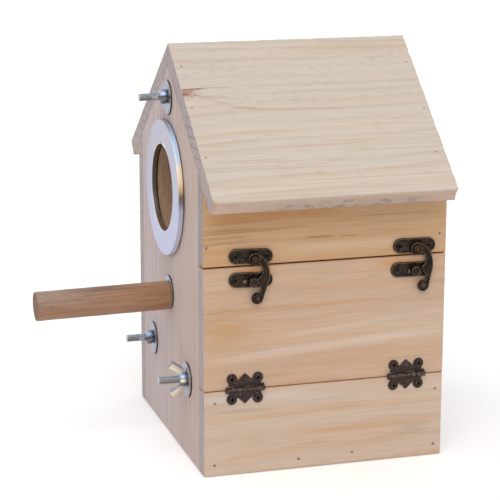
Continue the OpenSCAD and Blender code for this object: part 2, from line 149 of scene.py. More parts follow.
class NestBoxMetal(bpy.types.PropertyGroup):
    """Ring, fasteners, latches and hinges."""

    # These three zinc tones are painted reflections: of the sky, of the door side and of the front.
    zinc: tint("Zinc", (0.33, 0.405, 0.52), "Bright zinc that faces the sky")
    zinc_side_reflection: tint("Warm zinc", (0.97, 0.85, 0.66), "Zinc that faces the door side")
    zinc_front_reflection: tint("Zinc fronts", (0.47, 0.50, 0.63), "Zinc that faces forwards")
    ring: tint("Guard ring", (0.535, 0.56, 0.755), "Metal of the guard ring")
    # The ring's top tone is a painted reflection: the face turns greyer towards its top.
    ring_top_reflection: tint("Guard ring's top", (0.50, 0.495, 0.60), "Metal of the upper part of the ring")
    bronze: tint("Bronze", (0.0225, 0.0170, 0.0133), "Dark patina of the latches")
    brown: tint("Brown bronze", (0.042, 0.031, 0.030), "Patina of the hinges")
    # Brass shows on worn edges, and on the hooks also as a painted highlight.
    brass: tint("Worn brass", (0.24, 0.17, 0.095), "Metal that shows on worn edges")
    wing_span: length("Wing span", 24.4, "Span of a wing nut over its two tips", 15, 40)
    thread_pitch: length("Thread pitch", 0.8, "Rise of the bolt thread in one turn", 0.2, 2)
    thread_depth: length("Thread depth", 0.32, "Depth of the bolt thread", 0.1, 1)
    hinge_screw: length("Hinge screw head", 4.5, "Diameter of a hinge screw's head", 2, 6)
    latch_screw: length("Latch screw head", 3.7, "Diameter of a latch screw's head", 2, 6)
    turns: IntProperty(
        name="Segments", description="Faces round a turned piece", default=96, min=24, max=256
    )


class NestBoxStudio(bpy.types.PropertyGroup):
    """Light, floor and camera."""

    sky: strength("Sky", 0.62, "Strength of the even light all round")
    key: strength("Key lamp", 1.1, "Strength of the warm lamp above the side")
    fill: strength("Fill lamp", 0.5, "Strength of the cool lamp at the front")
    lens: FloatProperty(
        name="Lens", description="Focal length of the camera", default=129.84, min=1, unit="CAMERA"
    )


class NestBoxSettings(bpy.types.PropertyGroup):
    """Everything that can be set on the nest box."""

    wood: PointerProperty(type=NestBoxWood)
    metal: PointerProperty(type=NestBoxMetal)
    studio: PointerProperty(type=NestBoxStudio)


def settings():
    """The settings of the scene that is being made."""
    return bpy.context.scene.nest_box


# ---------------------------------------------------------------- shader maths


def both_ways(operation):
    """Plain and reflected form of an arithmetic operator, each as one Math node."""

    def plain(self, other):
        return self.math(operation, self, other)

    def reflected(self, other):
        return self.math(operation, other, self)

    return plain, reflected


class Sock:
    """An output in a node tree. Arithmetic on it adds Math nodes to the same tree."""

    def __init__(self, nodes, link):
        self.nodes, self.link = nodes, link

    def math(self, operation, *values):
        """One Math node, fed with the values in order."""
        return self.nodes.node(
            "ShaderNodeMath", {"operation": operation}, dict(enumerate(values))
        )

    def __abs__(self):
        return self.math("ABSOLUTE", self)

    def fract(self):
        """What is left after the whole part."""
        return self.math("FRACT", self)

    def floor(self):
        """The whole part."""
        return self.math("FLOOR", self)

    def largest(self, other):
        """The larger of two values."""
        return self.math("MAXIMUM", self, other)

    __add__, __radd__ = both_ways("ADD")
    __sub__, __rsub__ = both_ways("SUBTRACT")
    __mul__, __rmul__ = both_ways("MULTIPLY")
    __truediv__, __rtruediv__ = both_ways("DIVIDE")
    __pow__, __rpow__ = both_ways("POWER")


class Nodes:
    """A node tree under construction."""

    def __init__(self, tree):
        self.tree = tree

    def node(self, kind, options=None, sockets=None, out=0):
        """Adds a node: its options first, then a value or a link for each socket named."""
        made = self.tree.nodes.new(kind)
        for key, value in (options or {}).items():
            setattr(made, key, value)
        for key, value in (sockets or {}).items():
            if isinstance(value, Sock):
                self.tree.links.new(value.link, made.inputs[key])
            else:
                made.inputs[key].default_value = value
        return Sock(self, made.outputs[out])


class Finish(Nodes):
    """A material under construction: one Principled surface and the nodes that feed it."""

    def __init__(self, name, constants=None):
        self.material = bpy.data.materials.new(name)
        self.material.use_nodes = True
        super().__init__(self.material.node_tree)
        self.shader = self.tree.nodes["Principled BSDF"]
        for socket, value in (constants or {}).items():
            self.shader.inputs[socket].default_value = value

    def feed(self, socket, value):
        """Links a varying value to a socket of the Principled surface."""
        self.tree.links.new(value.link, self.shader.inputs[socket])

    def place(self, origin=(0, 0, 0)):
        """Object coordinates from an origin given in millimetres."""
        spot = self.node("ShaderNodeTexCoord", out="Object")
        return self.node(
            "ShaderNodeVectorMath", {"operation": "SUBTRACT"}, {0: spot, 1: np.array(origin) * MM}
        )

    def along(self, vector, direction, scale=1.0):
        """Component of a vector along a direction, times scale."""
        heading = tuple(float(part) * scale for part in direction)
        return self.node(
            "ShaderNodeVectorMath", {"operation": "DOT_PRODUCT"}, {0: vector, 1: heading}, "Value"
        )

    def join(self, x, y, z):
        """Vector from three values."""
        return self.node("ShaderNodeCombineXYZ", None, {0: x, 1: y, 2: z})

    def noise(self, vector, scale=1.0, detail=2.0, rough=0.5):
        """Fractal noise from 0 to 1."""
        return self.node(
            "ShaderNodeTexNoise", None,
            {"Vector": vector, "Scale": scale, "Detail": detail, "Roughness": rough},
        )

    def step(self, value, low, high):
        """Smooth step from 0 at low to 1 at high; low may be the larger one."""
        return self.node(
            "ShaderNodeMapRange", {"interpolation_type": "SMOOTHSTEP"},
            {"Value": value, "From Min": low, "From Max": high},
        )

    def bell(self, value, centre, width):
        """Smooth bump, 1 at the centre and 0 at width from it."""
        return self.step(abs(value - centre), width, 0.0)

    def mix(self, factor, first, second, blend="MIX"):
        """Mix of two colours; a tuple of three numbers is a plain colour."""
        first, second = (
            (*part, 1.0) if not isinstance(part, Sock) else part for part in (first, second)
        )
        return self.node(
            "ShaderNodeMix", {"data_type": "RGBA", "blend_type": blend},
            {0: factor, 6: first, 7: second}, 2,
        )

    def dim(self, factor, colour, tone):
        """A colour multiplied by a tone, as far as the factor says."""
        return self.mix(factor, colour, tone, "MULTIPLY")

    def wear_and_painted_light(self):
        """The mesh attribute that holds wear and painted light."""
        return self.node("ShaderNodeAttribute", {"attribute_name": "wear_and_painted_light"}, out="Fac")

    def bump(self, height, distance, strength=1.0):
        """Fine relief from a height, with distance in millimetres."""
        lifted = self.node(
            "ShaderNodeBump", None,
            {"Height": height, "Distance": distance * MM, "Strength": strength},
        )
        self.feed("Normal", lifted)


# ---------------------------------------------------------------- timber


def timber(
    name, grain, across, origin, pale, line, end, pith, ring, seed=0.0, contrast=0.5,
    blush=(0.6, 0.33, 0.15), blush_gain=0.3, bleach=(0.75, 0.66, 0.56), bleach_gain=0.25,
    wander=5.0, fan=(0.0, 0.0), knots=(), streaks=(), stains_and_shade=(), dashes=0.6, fibres=0.2,
    extra=None,
):
    """Sawn softwood worked out as a piece of a log.

    The rings are circles round the pith, a line parallel to the grain at pith = (across, depth)
    in millimetres from the origin. Noise that is long in the grain direction bends them. Each
    ring goes from pale earlywood to a thin dark line of latewood. fan = (across, gain) squeezes
    the rings towards one height as they run along the board. On top come broad blushed and
    bleached bands, fine fibre, short resin dashes, and marks on the board, all in millimetres:
    knots (along, across, radius, how far the rings bend round it), streaks (along, across,
    rise, curve, half length, thickness, colour, gain) and stains (along, across, half length,
    half height, colour, gain); a few streaks and stains are painted shade, not marks in the
    wood. Where the surface turns towards the grain direction it shows end grain instead.
    """
    wood = Finish(name, {"Specular IOR Level": 0.3})
    grain, across = np.array(grain, float), np.array(across, float)
    depth = np.cross(grain, across)
    spot = wood.place(origin)
    u, v, w = (wood.along(spot, way, 1 / MM) for way in (grain, across, depth))
    v_bent = v
    if fan[1]:
        v_bent = v + (v - fan[0]) * (u + 80.0) * fan[1]
    for along, place, radius, push in knots:
        near = wood.bell(u, along, radius * 13) * wood.bell(v, place, radius * 6)
        side = wood.step(v, place - radius * 1.5, place + radius * 1.5) * 2 - 1
        v_bent = v_bent - near * side * push

    def drift(along, around, detail, shift=seed, rough=0.5):
        """Noise with a grain size in millimetres along the grain and one around it."""
        spread = wood.join(u / along + shift, v / around, w / around)
        return wood.noise(spread, detail=detail, rough=rough)

    bend = drift(110, 45, 1.5) - 0.5
    ripple = drift(26, 7, 2.0) - 0.5
    reach = ((v_bent - pith[0]) ** 2.0 + (w - pith[1]) ** 2.0) ** 0.5
    count = (reach + bend * wander + ripple * 1.1) / ring
    count = count + wood.noise(wood.join(count * 0.45 + seed, 0.0, 0.0), detail=0.0) * 1.6
    part = count.fract()
    late = wood.step(part, 0.4, 0.92) * wood.step(part, 1.0, 0.95)
    own = wood.node(
        "ShaderNodeTexWhiteNoise", {"noise_dimensions": "1D"}, {"W": count.floor() + seed}
    )
    patch = drift(70, 26, 2.0, -seed)
    lines = late * (own * 0.6 + 0.4) * wood.step(patch, 0.2, 0.65)
    fibre = wood.noise(wood.join(u / 34 + seed, v * 0.8, w * 0.8), detail=3.0, rough=0.65)
    broad = drift(260, 11, 2.0, seed * 3)
    wide = drift(420, 24, 1.0, -seed * 2)

    colour = wood.mix(lines * contrast, pale, line)
    colour = wood.mix(wood.step(broad, 0.5, 0.72) * blush_gain, colour, blush)
    colour = wood.mix(wood.step(wide, 0.52, 0.3) * bleach_gain, colour, bleach)
    dark_line = tuple(0.35 * part for part in line)
    speck = wood.noise(wood.join(u / 12 + seed, v * 2.8, w * 2.8), detail=0.0)
    rare = drift(50, 12, 1.0, seed * 5)
    dash = wood.step(speck, 0.68, 0.78) * wood.step(rare, 0.48, 0.6)
    colour = wood.mix(dash * dashes, colour, dark_line)
    shade = wood.step(fibre, 0.25, 0.75)
    dim = wood.mix(shade, (0.45, 0.40, 0.36), (1.0, 1.0, 1.0))
    colour = wood.dim(fibres, colour, dim)
    for along, place, radius, push in knots:
        far = ((u - along) ** 2.0 * 0.35 + (v - place) ** 2.0) ** 0.5 + ripple * 1.5
        colour = wood.mix(wood.step(far, radius, radius * 0.2) * 0.75, colour, dark_line)
        freckle = drift(2.2, 1.1, 2.0, 0.0)
        near = wood.bell(u, along, radius * 7) * wood.bell(v, place, radius * 2.6)
        colour = wood.mix(wood.step(freckle, 0.5, 0.58) * near * 0.9, colour, dark_line)
    for along, place, rise, curve, half, thick, tone, gain in streaks:
        off = v - (place + (u - along) * rise + (u - along) ** 2.0 * curve) + ripple * 1.2
        mark = wood.bell(off, 0.0, thick) * wood.step(abs(u - along), half, half * 0.35)
        colour = wood.mix(mark * (1.0 - shade * 0.35) * gain, colour, tone)
    for along, place, long, tall, tone, gain in stains_and_shade:
        mark = wood.bell(u, along, long) * wood.bell(v, place, tall)
        mark = mark * wood.step(drift(34, 3.5, 3.0, -seed, 0.6), 0.25, 0.55)
        colour = wood.mix(mark * gain, colour, tone)
    facing = abs(wood.along(wood.node("ShaderNodeTexCoord", out="Normal"), grain))
    sawn = wood.step(facing, 0.55, 0.8)
    pores = wood.noise(spot, 2600.0, 2.0)
    cut = wood.mix(late * 0.4, end, tuple(0.5 * part for part in end))
    cut = wood.mix(wood.step(pores, 0.5, 0.72) * 0.25, cut, tuple(0.6 * part for part in end))
    upright = wood.noise(wood.join(w / 1.7 + seed, v / 15, u / 15), detail=2.0)
    cut = wood.mix(wood.step(upright, 0.42, 0.68) * 0.45, cut, tuple(0.62 * part for part in end))
    colour = wood.mix(sawn, colour, cut)
    if extra:
        colour = extra(wood, colour, u, v, w, ripple)
    wood.feed("Base Color", colour)
    wood.feed("Roughness", 0.72 - late * 0.12 + (fibre - 0.5) * 0.15)
    wood.bump(late * 0.5 + fibre * 0.7 + sawn * pores * 2.0, 0.10)
    return wood.material


# ---------------------------------------------------------------- metal


def zinc(name, above, beside, below, face, painted_shade=0.75):
    """Bright zinc with four painted tones: turned up, to the door side, down and forwards.

    The light in this scene is plain, so the tones stand in for what a room would reflect, and
    they stay with the piece when it turns. The mesh attribute marks where shade is painted in:
    deep in a thread groove, at the foot of a wing nut's hub and along its wings' edges.
    """
    metal = Finish(name, {"Metallic": 0.9})
    spot = metal.place()
    haze = metal.noise(spot, 300.0, 3.0)
    spangle = metal.noise(spot, 1500.0, 1.0)
    facing = metal.node("ShaderNodeTexCoord", out="Normal")
    side, up, front = (metal.along(facing, way) for way in ((1, 0, 0), (0, 0, 1), (0, -1, 0)))
    wear_and_painted_light = metal.wear_and_painted_light()
    around = (side ** 2.0 + up ** 2.0) ** 0.5 + 0.001
    colour = metal.mix(metal.step(up / around, -0.2, 0.5), below, above)
    warm = metal.step(side / around + (haze - 0.5) * 0.01, 0.96, 0.985)
    colour = metal.mix(warm, colour, beside)
    colour = metal.mix(metal.step(front, 0.6, 0.9), colour, face)
    colour = metal.dim(metal.step(haze, 0.42, 0.66) * 0.35, colour, (0.72, 0.72, 0.72))
    colour = metal.dim(spangle * 0.2, colour, (0.6, 0.62, 0.66))
    # Painted shade in thread grooves, at the hub's foot and along the wings' edges.
    colour = metal.mix(wear_and_painted_light * painted_shade, colour, (0.045, 0.045, 0.06))
    metal.feed("Base Color", colour)
    metal.feed("Roughness", 0.24 + haze * 0.16)
    metal.bump(haze, 0.02, 0.5)
    return metal.material


def bronze(name, tone, red=0.0, mottle=1.0):
    """Antique bronze: near-black patina, brass where the mesh attribute is near 1: rubbed wear, and
    on the hooks' outer side a painted highlight.

    Below 0 the attribute marks recesses, where the patina is black.
    """
    tones = settings().metal
    metal = Finish(name, {"Metallic": 0.85})
    spot = metal.place()
    grain = metal.noise(spot, 900.0, 3.0)
    patch = metal.noise(spot, 330.0, 2.0)
    wear_and_painted_light = metal.wear_and_painted_light()
    rubbed = metal.step(wear_and_painted_light + (grain - 0.5) * 0.9, 0.35, 0.95)
    dark = (0.6 * tone[0], 0.75 * tone[1], 1.1 * tone[2])
    warm = ((1.7 + red) * tone[0], (1.4 + 0.4 * red) * tone[1], 1.1 * tone[2])
    colour = metal.mix((metal.step(patch, 0.35, 0.65) - 0.5) * mottle + 0.5, dark, warm)
    fleck = tuple(4.2 * part for part in tone)
    colour = metal.mix(metal.step(grain, 0.54, 0.70) * 0.7, colour, fleck)
    colour = metal.mix(rubbed * 0.85, colour, tuple(tones.brass))
    colour = metal.mix(metal.step(wear_and_painted_light, -0.2, -0.7), colour, (0.004, 0.004, 0.004))
    metal.feed("Base Color", colour)
    metal.feed("Roughness", 0.44 - rubbed * 0.14 + (patch - 0.5) * 0.2)
    metal.bump(grain * 0.6 + patch, 0.12, 0.7)
    return metal.material


def ring_metal():
    """Satin ring face with a fine turned lay round its axis and a few soft scuffs.

    The bands on the rim and the light and dark spots on the inner edge are painted by place.
    They stand in for reflections, and stay with the ring when it turns. The face is painted
    greyer towards its top as a reflection and darker at its left as shade, the bore is painted
    dark as shade and lighter at its bottom as light, and a dark band where the ring meets the
    wall is a painted contact shadow.
    """
    low, high = corners_of("entry_ring")
    metal = Finish("ring_metal")
    spot = metal.place(centre_of("entry_ring"))
    x, y, z = (metal.along(spot, way, 1 / MM) for way in np.eye(3))
    reach = (x ** 2.0 + z ** 2.0) ** 0.5
    lay = metal.noise(metal.join(reach * 9.0, 0.0, 0.0), 1.0, 3.0, 0.7)
    scuff = metal.noise(spot, 130.0, 3.0)
    tones = settings().metal
    # Painted reflection: the face turns greyer towards its top.
    colour = metal.mix(metal.step(z, -25.0, 40.0), tuple(tones.ring), tuple(tones.ring_top_reflection))
    colour = metal.dim(scuff * 0.3, colour, (0.82, 0.82, 0.82))
    # Painted shade: the face darkens towards its left edge.
    colour = metal.dim(metal.step(x, -18.0, -44.0), colour, (0.86, 0.86, 0.84))
    outer = (high[0] - low[0]) / 2
    inner, half_thick = outer - RING_WIDTH, (high[1] - low[1]) / 2
    rim = metal.step(reach, outer - 0.4, outer - 0.15)
    right = metal.step(x, -2.0, 6.0)
    bands = metal.node("ShaderNodeValToRGB", None, {0: z / 70.0 + 0.33 + (lay - 0.5) * 0.06})
    ramp = bands.link.node.color_ramp
    for place, shade in (
        (0.0, (0.62, 0.64, 0.80)), (0.22, (0.50, 0.52, 0.66)), (0.31, (0.20, 0.19, 0.19)),
        (0.36, (0.22, 0.17, 0.13)), (0.42, (0.70, 0.50, 0.29)), (0.50, (1.0, 0.84, 0.60)),
        (0.62, (0.98, 0.86, 0.68)), (0.67, (0.62, 0.76, 0.95)), (0.84, (0.55, 0.75, 1.0)),
        (0.96, (0.36, 0.41, 0.47)),
    ):
        stop = ramp.elements.new(place)
        stop.color = (*shade, 1.0)
    ramp.elements.remove(ramp.elements[-1])
    ramp.elements.remove(ramp.elements[0])
    colour = metal.mix(rim * right, colour, bands)
    # The bore is painted dark as shade, and lighter and browner towards its bottom as painted
    # light.
    bore_shading = metal.step(reach, inner + 0.25, inner + 0.05)
    bore = metal.mix(metal.step(z, -14.0, -25.0), (0.21, 0.175, 0.165), (0.40, 0.30, 0.235))
    colour = metal.mix(bore_shading * 0.9, colour, bore)
    # A painted contact shadow where the ring's back meets the wall, on the rim and the lower bore.
    contact_shadow = metal.step(y, half_thick - 0.9, half_thick - 0.5)
    contact_shadow = contact_shadow * (bore_shading * metal.step(z, -26.0, -16.0)).largest(rim)
    colour = metal.mix(contact_shadow, colour, (0.03, 0.02, 0.015))
    lip = metal.bell(reach, inner + 0.35, 0.4)
    colour = metal.mix(lip * metal.step(x, 4.0, -8.0) * 0.8, colour, (1.0, 0.86, 0.66))
    top = metal.step(reach, inner + 2.0, inner + 1.2) * metal.step(z, 0.0, 9.0)
    colour = metal.mix(top * metal.bell(x, 6.0, 6.0), colour, (1.0, 1.0, 1.0))
    colour = metal.mix(top * metal.bell(x, -0.8, 2.2) * 0.85, colour, (0.05, 0.045, 0.045))
    metal.feed("Metallic", 1.0 - rim * right * 0.8)
    metal.feed("Base Color", colour)
    metal.feed("Roughness", 0.27 + lay * 0.1 + metal.step(scuff, 0.5, 0.75) * 0.12)
    metal.bump(lay, 0.006, 0.5)
    return metal.material


# ---------------------------------------------------------------- mesh surfaces


def wrap_faces(rows, columns, closed_rows=False):
    """Quads of a grid whose columns run round a loop; closed_rows also joins last row to first."""
    last = rows if closed_rows else rows - 1
    i, j = np.meshgrid(np.arange(last), np.arange(columns), indexing="ij")
    k, n = (i + 1) % rows, (j + 1) % columns
    quads = np.stack([i * columns + j, i * columns + n, k * columns + n, k * columns + j], -1)
    return quads.reshape(-1, 4)


def make_piece(name, parts, material, body, replaced=(), wear_and_painted_light=None, crease=35.0):
    """One object from (points in mm, faces) parts, at the origin, riding on a body.

    Doubles are merged and normals turned outwards, and edges sharper than crease degrees stay
    sharp in the shading.
    """
    points = np.concatenate([np.asarray(part[0]).reshape(-1, 3) for part in parts])
    faces, start = [], 0
    for part in parts:
        for block in part[1]:
            faces += (np.asarray(block) + start).tolist()
        start += np.asarray(part[0]).size // 3
    mesh = bpy.data.meshes.new(name)
    mesh.from_pydata(points * MM, [], faces)
    if wear_and_painted_light is not None:
        values = np.concatenate([np.asarray(part, float).ravel() for part in wear_and_painted_light])
        mesh.attributes.new("wear_and_painted_light", "FLOAT", "POINT").data.foreach_set("value", values)
    work = bmesh.new()
    work.from_mesh(mesh)
    bmesh.ops.remove_doubles(work, verts=work.verts, dist=2e-6)
    bmesh.ops.dissolve_degenerate(work, edges=work.edges, dist=1e-7)
    bmesh.ops.recalc_face_normals(work, faces=work.faces)
    bmesh.ops.triangulate(work, faces=[face for face in work.faces if len(face.verts) > 4])
    work.to_mesh(mesh)
    work.free()
    mesh.shade_smooth()
    mesh.set_sharp_from_angle(angle=math.radians(crease))
    mesh.materials.append(material)
    piece = bpy.data.objects.new(name, mesh)
    bpy.context.scene.collection.objects.link(piece)
    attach(piece, body)
    if replaced:
        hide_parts(*replaced)
    return piece


def stack(loops, capped=(True, True)):
    """Part from loops[k, j]: rings of points joined to the next ring, with flat caps."""
    loops = np.asarray(loops, float)
    rows, columns = loops.shape[:2]
    blocks = [wrap_faces(rows, columns)]
    if capped[0]:
        blocks.append(np.arange(columns)[None, ::-1])
    if capped[1]:
        blocks.append((rows - 1) * columns + np.arange(columns)[None, :])
    return loops.reshape(-1, 3), blocks


def turned(profile, segments=None):
    """Part turned about local Z: each point (radius, height) of the profile goes round a circle."""
    segments = segments or settings().metal.turns
    profile = np.asarray(profile, float)
    angle = np.linspace(0, 2 * np.pi, segments, endpoint=False)
    ring = np.stack([np.cos(angle), np.sin(angle), np.zeros(segments)], -1)
    points = profile[:, None, :1] * ring[None] + profile[:, None, 1:] * np.array([0, 0, 1.0])
    return points.reshape(-1, 3), [wrap_faces(len(profile), segments)]


def placed(part, origin, right, up):
    """The part carried from local axes to millimetres in the frame: local Z = right x up."""
    right, up = np.array(right, float), np.array(up, float)
    basis = np.stack([right, up, np.cross(right, up)])
    return np.asarray(part[0]) @ basis + np.asarray(origin, float), part[1]


def arc(centre, radius, start, end, steps):
    """Points on a circular arc, with angles in degrees."""
    turn = np.radians(np.linspace(start, end, steps + 1))
    return np.asarray(centre, float) + radius * np.column_stack((np.cos(turn), np.sin(turn)))


def pulled_in(outline, inset):
    """Closed outline moved inwards by inset: each point along its bisector, mitred."""
    outline = np.asarray(outline, float)
    before, after = np.roll(outline, 1, 0), np.roll(outline, -1, 0)
    first, second = outline - before, after - outline
    first /= np.linalg.norm(first, axis=1)[:, None]
    second /= np.linalg.norm(second, axis=1)[:, None]
    left = np.stack([-first[:, 1], first[:, 0]], -1) + np.stack([-second[:, 1], second[:, 0]], -1)
    left /= np.linalg.norm(left, axis=1)[:, None]
    share = np.sum(left * np.stack([-first[:, 1], first[:, 0]], -1), 1)
    return outline + left * (inset / np.maximum(share, 0.45))[:, None]


def relief(outline_at, levels):
    """Loops of a cast plate: outline_at(inset) lifted to each level's height."""
    return np.stack([
        np.column_stack((outline_at(inset), np.full(len(outline_at(inset)), height)))
        for inset, height in levels
    ])


def wobble(seed, size, knots):
    """Smooth random curve from 0 to 1 with the given number of knots."""
    values = np.random.default_rng(seed).random(knots)
    return np.interp(np.linspace(0, knots - 1, size), np.arange(knots), values)


# ---------------------------------------------------------------- boards


def eased_loops(corners, ease, inset, gap=4.0):
    """Loops of a convex outline with rounded corners.

    corners[c] are the sharp corners, ease[s, c] the corner radius at station s and inset[s] how
    far the whole loop is pulled in. Along each side points stand every gap millimetres.
    """
    corners = np.asarray(corners, float)
    after, before = np.roll(corners, -1, 0), np.roll(corners, 1, 0)
    out = after - corners
    span = np.linalg.norm(out, axis=1)
    out /= span[:, None]
    back = before - corners
    back /= np.linalg.norm(back, axis=1)[:, None]
    half = np.arccos(np.clip(np.sum(out * back, 1), -1, 1)) / 2
    inwards = out + back
    inwards /= np.linalg.norm(inwards, axis=1)[:, None]
    tip = corners[None] + inwards[None] * (inset[:, None] / np.sin(half)[None])[..., None]
    reach = np.maximum(ease - inset[:, None] * 0.8, 0.02) / np.tan(half)[None]
    steps = np.linspace(0, 1, 4)
    loops = []
    for c in range(len(corners)):
        here = tip[:, c]
        start = here + back[c] * reach[:, c, None]
        end = here + out[c] * reach[:, c, None]
        for t in steps:
            loops.append((1 - t) ** 2 * start + 2 * t * (1 - t) * here + t * t * end)
        nxt = (c + 1) % len(corners)
        stop = tip[:, nxt] + back[nxt] * reach[:, nxt, None]
        count = max(int(span[c] / gap), 1)
        near = 0.8 / span[c]
        shares = np.concatenate([[near], np.linspace(0, 1, count + 2)[1:-1], [1 - near]])
        for t in np.unique(np.clip(shares, near, 1 - near)):
            loops.append(end + (stop - end) * t)
    return np.stack(loops, 1)


def plank(corners, front, back, seed, torn=0.0, skew=0.0, chip=None, crisp=False, droop=0.0):
    """A board along Y: its section in X and Z, carried from front to back.

    Corner radii wander along the edge, both ends roll over by the edge radius, and torn is how
    ragged the saw left the back end. skew shortens the back end per millimetre of X. The ends
    and the corners next to them stay sharp where crisp is set. droop is how far the lower edge
    sinks over the last 8 mm.
    """
    ease = settings().wood.edge_ease / MM
    steps = [0.0, 0.0, 0.06, 0.2, ease, ease + 0.8]
    middle = np.arange(4.0, back - front - 4.0, 2.5)
    station = np.concatenate([steps, middle, (back - front) - np.array(steps[::-1])])
    depth = np.minimum(station, back - front - station)
    roll = ease - np.sqrt(np.maximum(ease**2 - np.maximum(ease - depth, 0) ** 2, 0))
    if crisp:
        roll *= 0.15
    inset = roll.copy()
    inset[0] = inset[-1] = ease + 0.8
    radii = np.stack([
        ease * (0.55 + 0.9 * wobble(seed + c, len(station), 40) ** 2) for c in range(len(corners))
    ], 1)
    if crisp:
        radii *= np.clip(0.15 + depth / 6, 0, 1)[:, None]
    if chip:
        corner, place, size = chip
        radii[:, corner] += size * np.exp(-(((station - place) / 2.2) ** 2))
    loops = eased_loops(corners, radii, inset)
    if droop:
        sunk = loops[..., 1] < min(z for _, z in corners) + 3
        loops[..., 1] -= droop * sunk * np.clip(1 - (station[-1] - station) / 8, 0, 1)[:, None]
    y = np.repeat((front + station)[:, None], loops.shape[1], 1)
    if torn:
        rough = np.random.default_rng(seed + 77).random(loops.shape[1]) ** 3 * torn
        fade = np.clip(1 - (back - front - station) / 1.2, 0, 1)
        fade[-1] = 0
        y -= fade[:, None] * rough[None]
        y[-1] -= torn * 0.4
    y -= skew * np.abs(loops[..., 0]) * (station / (back - front))[:, None]
    return stack(np.stack([loops[..., 0], y, loops[..., 1]], -1))


def roof_corners(sign):
    """Section of a roof board: under the ridge, eave with its chamfer, over the eave, ridge."""
    wood = settings().wood
    pitch, chamfer = wood.roof_pitch, wood.eave_chamfer / MM
    low, high = corners_of("roof_right")
    thick = (high[2] - low[2] - high[0] * math.tan(pitch)) / math.cos(pitch)
    down = np.array([math.cos(pitch), -math.sin(pitch)])
    out = np.array([math.sin(pitch), math.cos(pitch)])
    eave = np.array([high[0], low[2]]) - thick * out * (1, 0) - wood.eave_short / MM * down
    section = [
        (0, high[2] - thick / math.cos(pitch)), eave - 2 * chamfer * down,
        eave + chamfer * out, eave + thick * out, (0, high[2]),
    ]
    return [(sign * x, z) for x, z in section][:: int(sign)]


def side_timber(name, tone, seed, seams=(), shade=1.0, **marks):
    """Warm board along the side of the box: browner at its saw cuts, its ends dimmed by shade."""
    wood = settings().wood

    def burnt(finish, colour, u, v, w, ripple):
        """Scorched next to each saw cut."""
        for seam in seams:
            near = finish.step(abs(v - seam) + ripple * 0.8, 0.75, 0.15)
            colour = finish.mix(near * 0.7, colour, (0.36, 0.16, 0.06))
        return colour

    values = {
        "pith": (-90.0, -190.0), "ring": 6.0, "contrast": 0.35, "wander": 12.0, "dashes": 0.22,
        "blush": (0.60, 0.31, 0.13), "blush_gain": 0.5, "bleach": (0.70, 0.56, 0.44),
        "bleach_gain": 0.4,
    }
    values.update(marks)
    return timber(
        name, (0, 1, 0), (0, 0, 1), (86, 0, 0), tuple(tone), tuple(wood.side_line),
        tuple(shade * part for part in wood.end), seed=seed, extra=burnt, **values,
    )


# Marks on the boards, in the forms that timber() takes.
RESIN, HEART, BROWN = (0.16, 0.06, 0.035), (0.26, 0.11, 0.055), (0.42, 0.25, 0.16)
ORANGE, DEEP, CREAM = (0.56, 0.27, 0.095), (0.40, 0.17, 0.06), (0.74, 0.61, 0.52)
# The third colour on the next line is the deep orange of painted latch shade on the door.
GREY, RED, LATCH_SHADE = (0.42, 0.36, 0.30), (0.30, 0.10, 0.07), (0.62, 0.31, 0.12)
ROOF_MARKS = {
    1: {
        "seed": 3.1, "pith": (180.0, -80.0), "fan": (45.0, 0.0006),
        "knots": [(-79.5, 46.5, 2.4, 5.0)],
        "streaks": [
            (-73.0, 42.4, 0.01, 0.0, 10.0, 1.0, RESIN, 0.95),
            (-60.0, 42.0, 0.01, 0.0, 14.0, 0.6, HEART, 0.6),
            (-79.0, 46.8, 0.10, 0.0, 5.0, 1.5, RESIN, 0.8),
            (-62.0, 53.0, 0.45, -0.006, 18.0, 1.4, BROWN, 0.3),
            (-68.0, 49.0, 0.25, 0.0, 12.0, 0.9, HEART, 0.3),
            (-43.0, 60.5, 0.15, 0.0, 11.0, 1.6, (0.42, 0.20, 0.11), 0.5),
            (-78.0, 43.6, 0.02, 0.0, 9.0, 2.2, (0.34, 0.15, 0.08), 0.7),
            (-58.0, 50.5, 0.16, 0.0, 16.0, 1.2, (0.46, 0.33, 0.24), 0.5),
            (-14.0, 63.3, 0.05, -0.0006, 40.0, 1.1, BROWN, 0.45),
            (45.0, 9.0, 0.0, 0.0, 62.0, 9.0, (0.60, 0.45, 0.32), 0.5),
        ],
        "stains_and_shade": [
            (-80.0, 138.0, 3.5, 2.5, (0.52, 0.24, 0.09), 0.9),
            (-78.0, 46.5, 9.0, 5.0, (0.40, 0.19, 0.11), 0.6),
        ],
    },
    -1: {"seed": 8.7, "pith": (160.0, -70.0)},
}
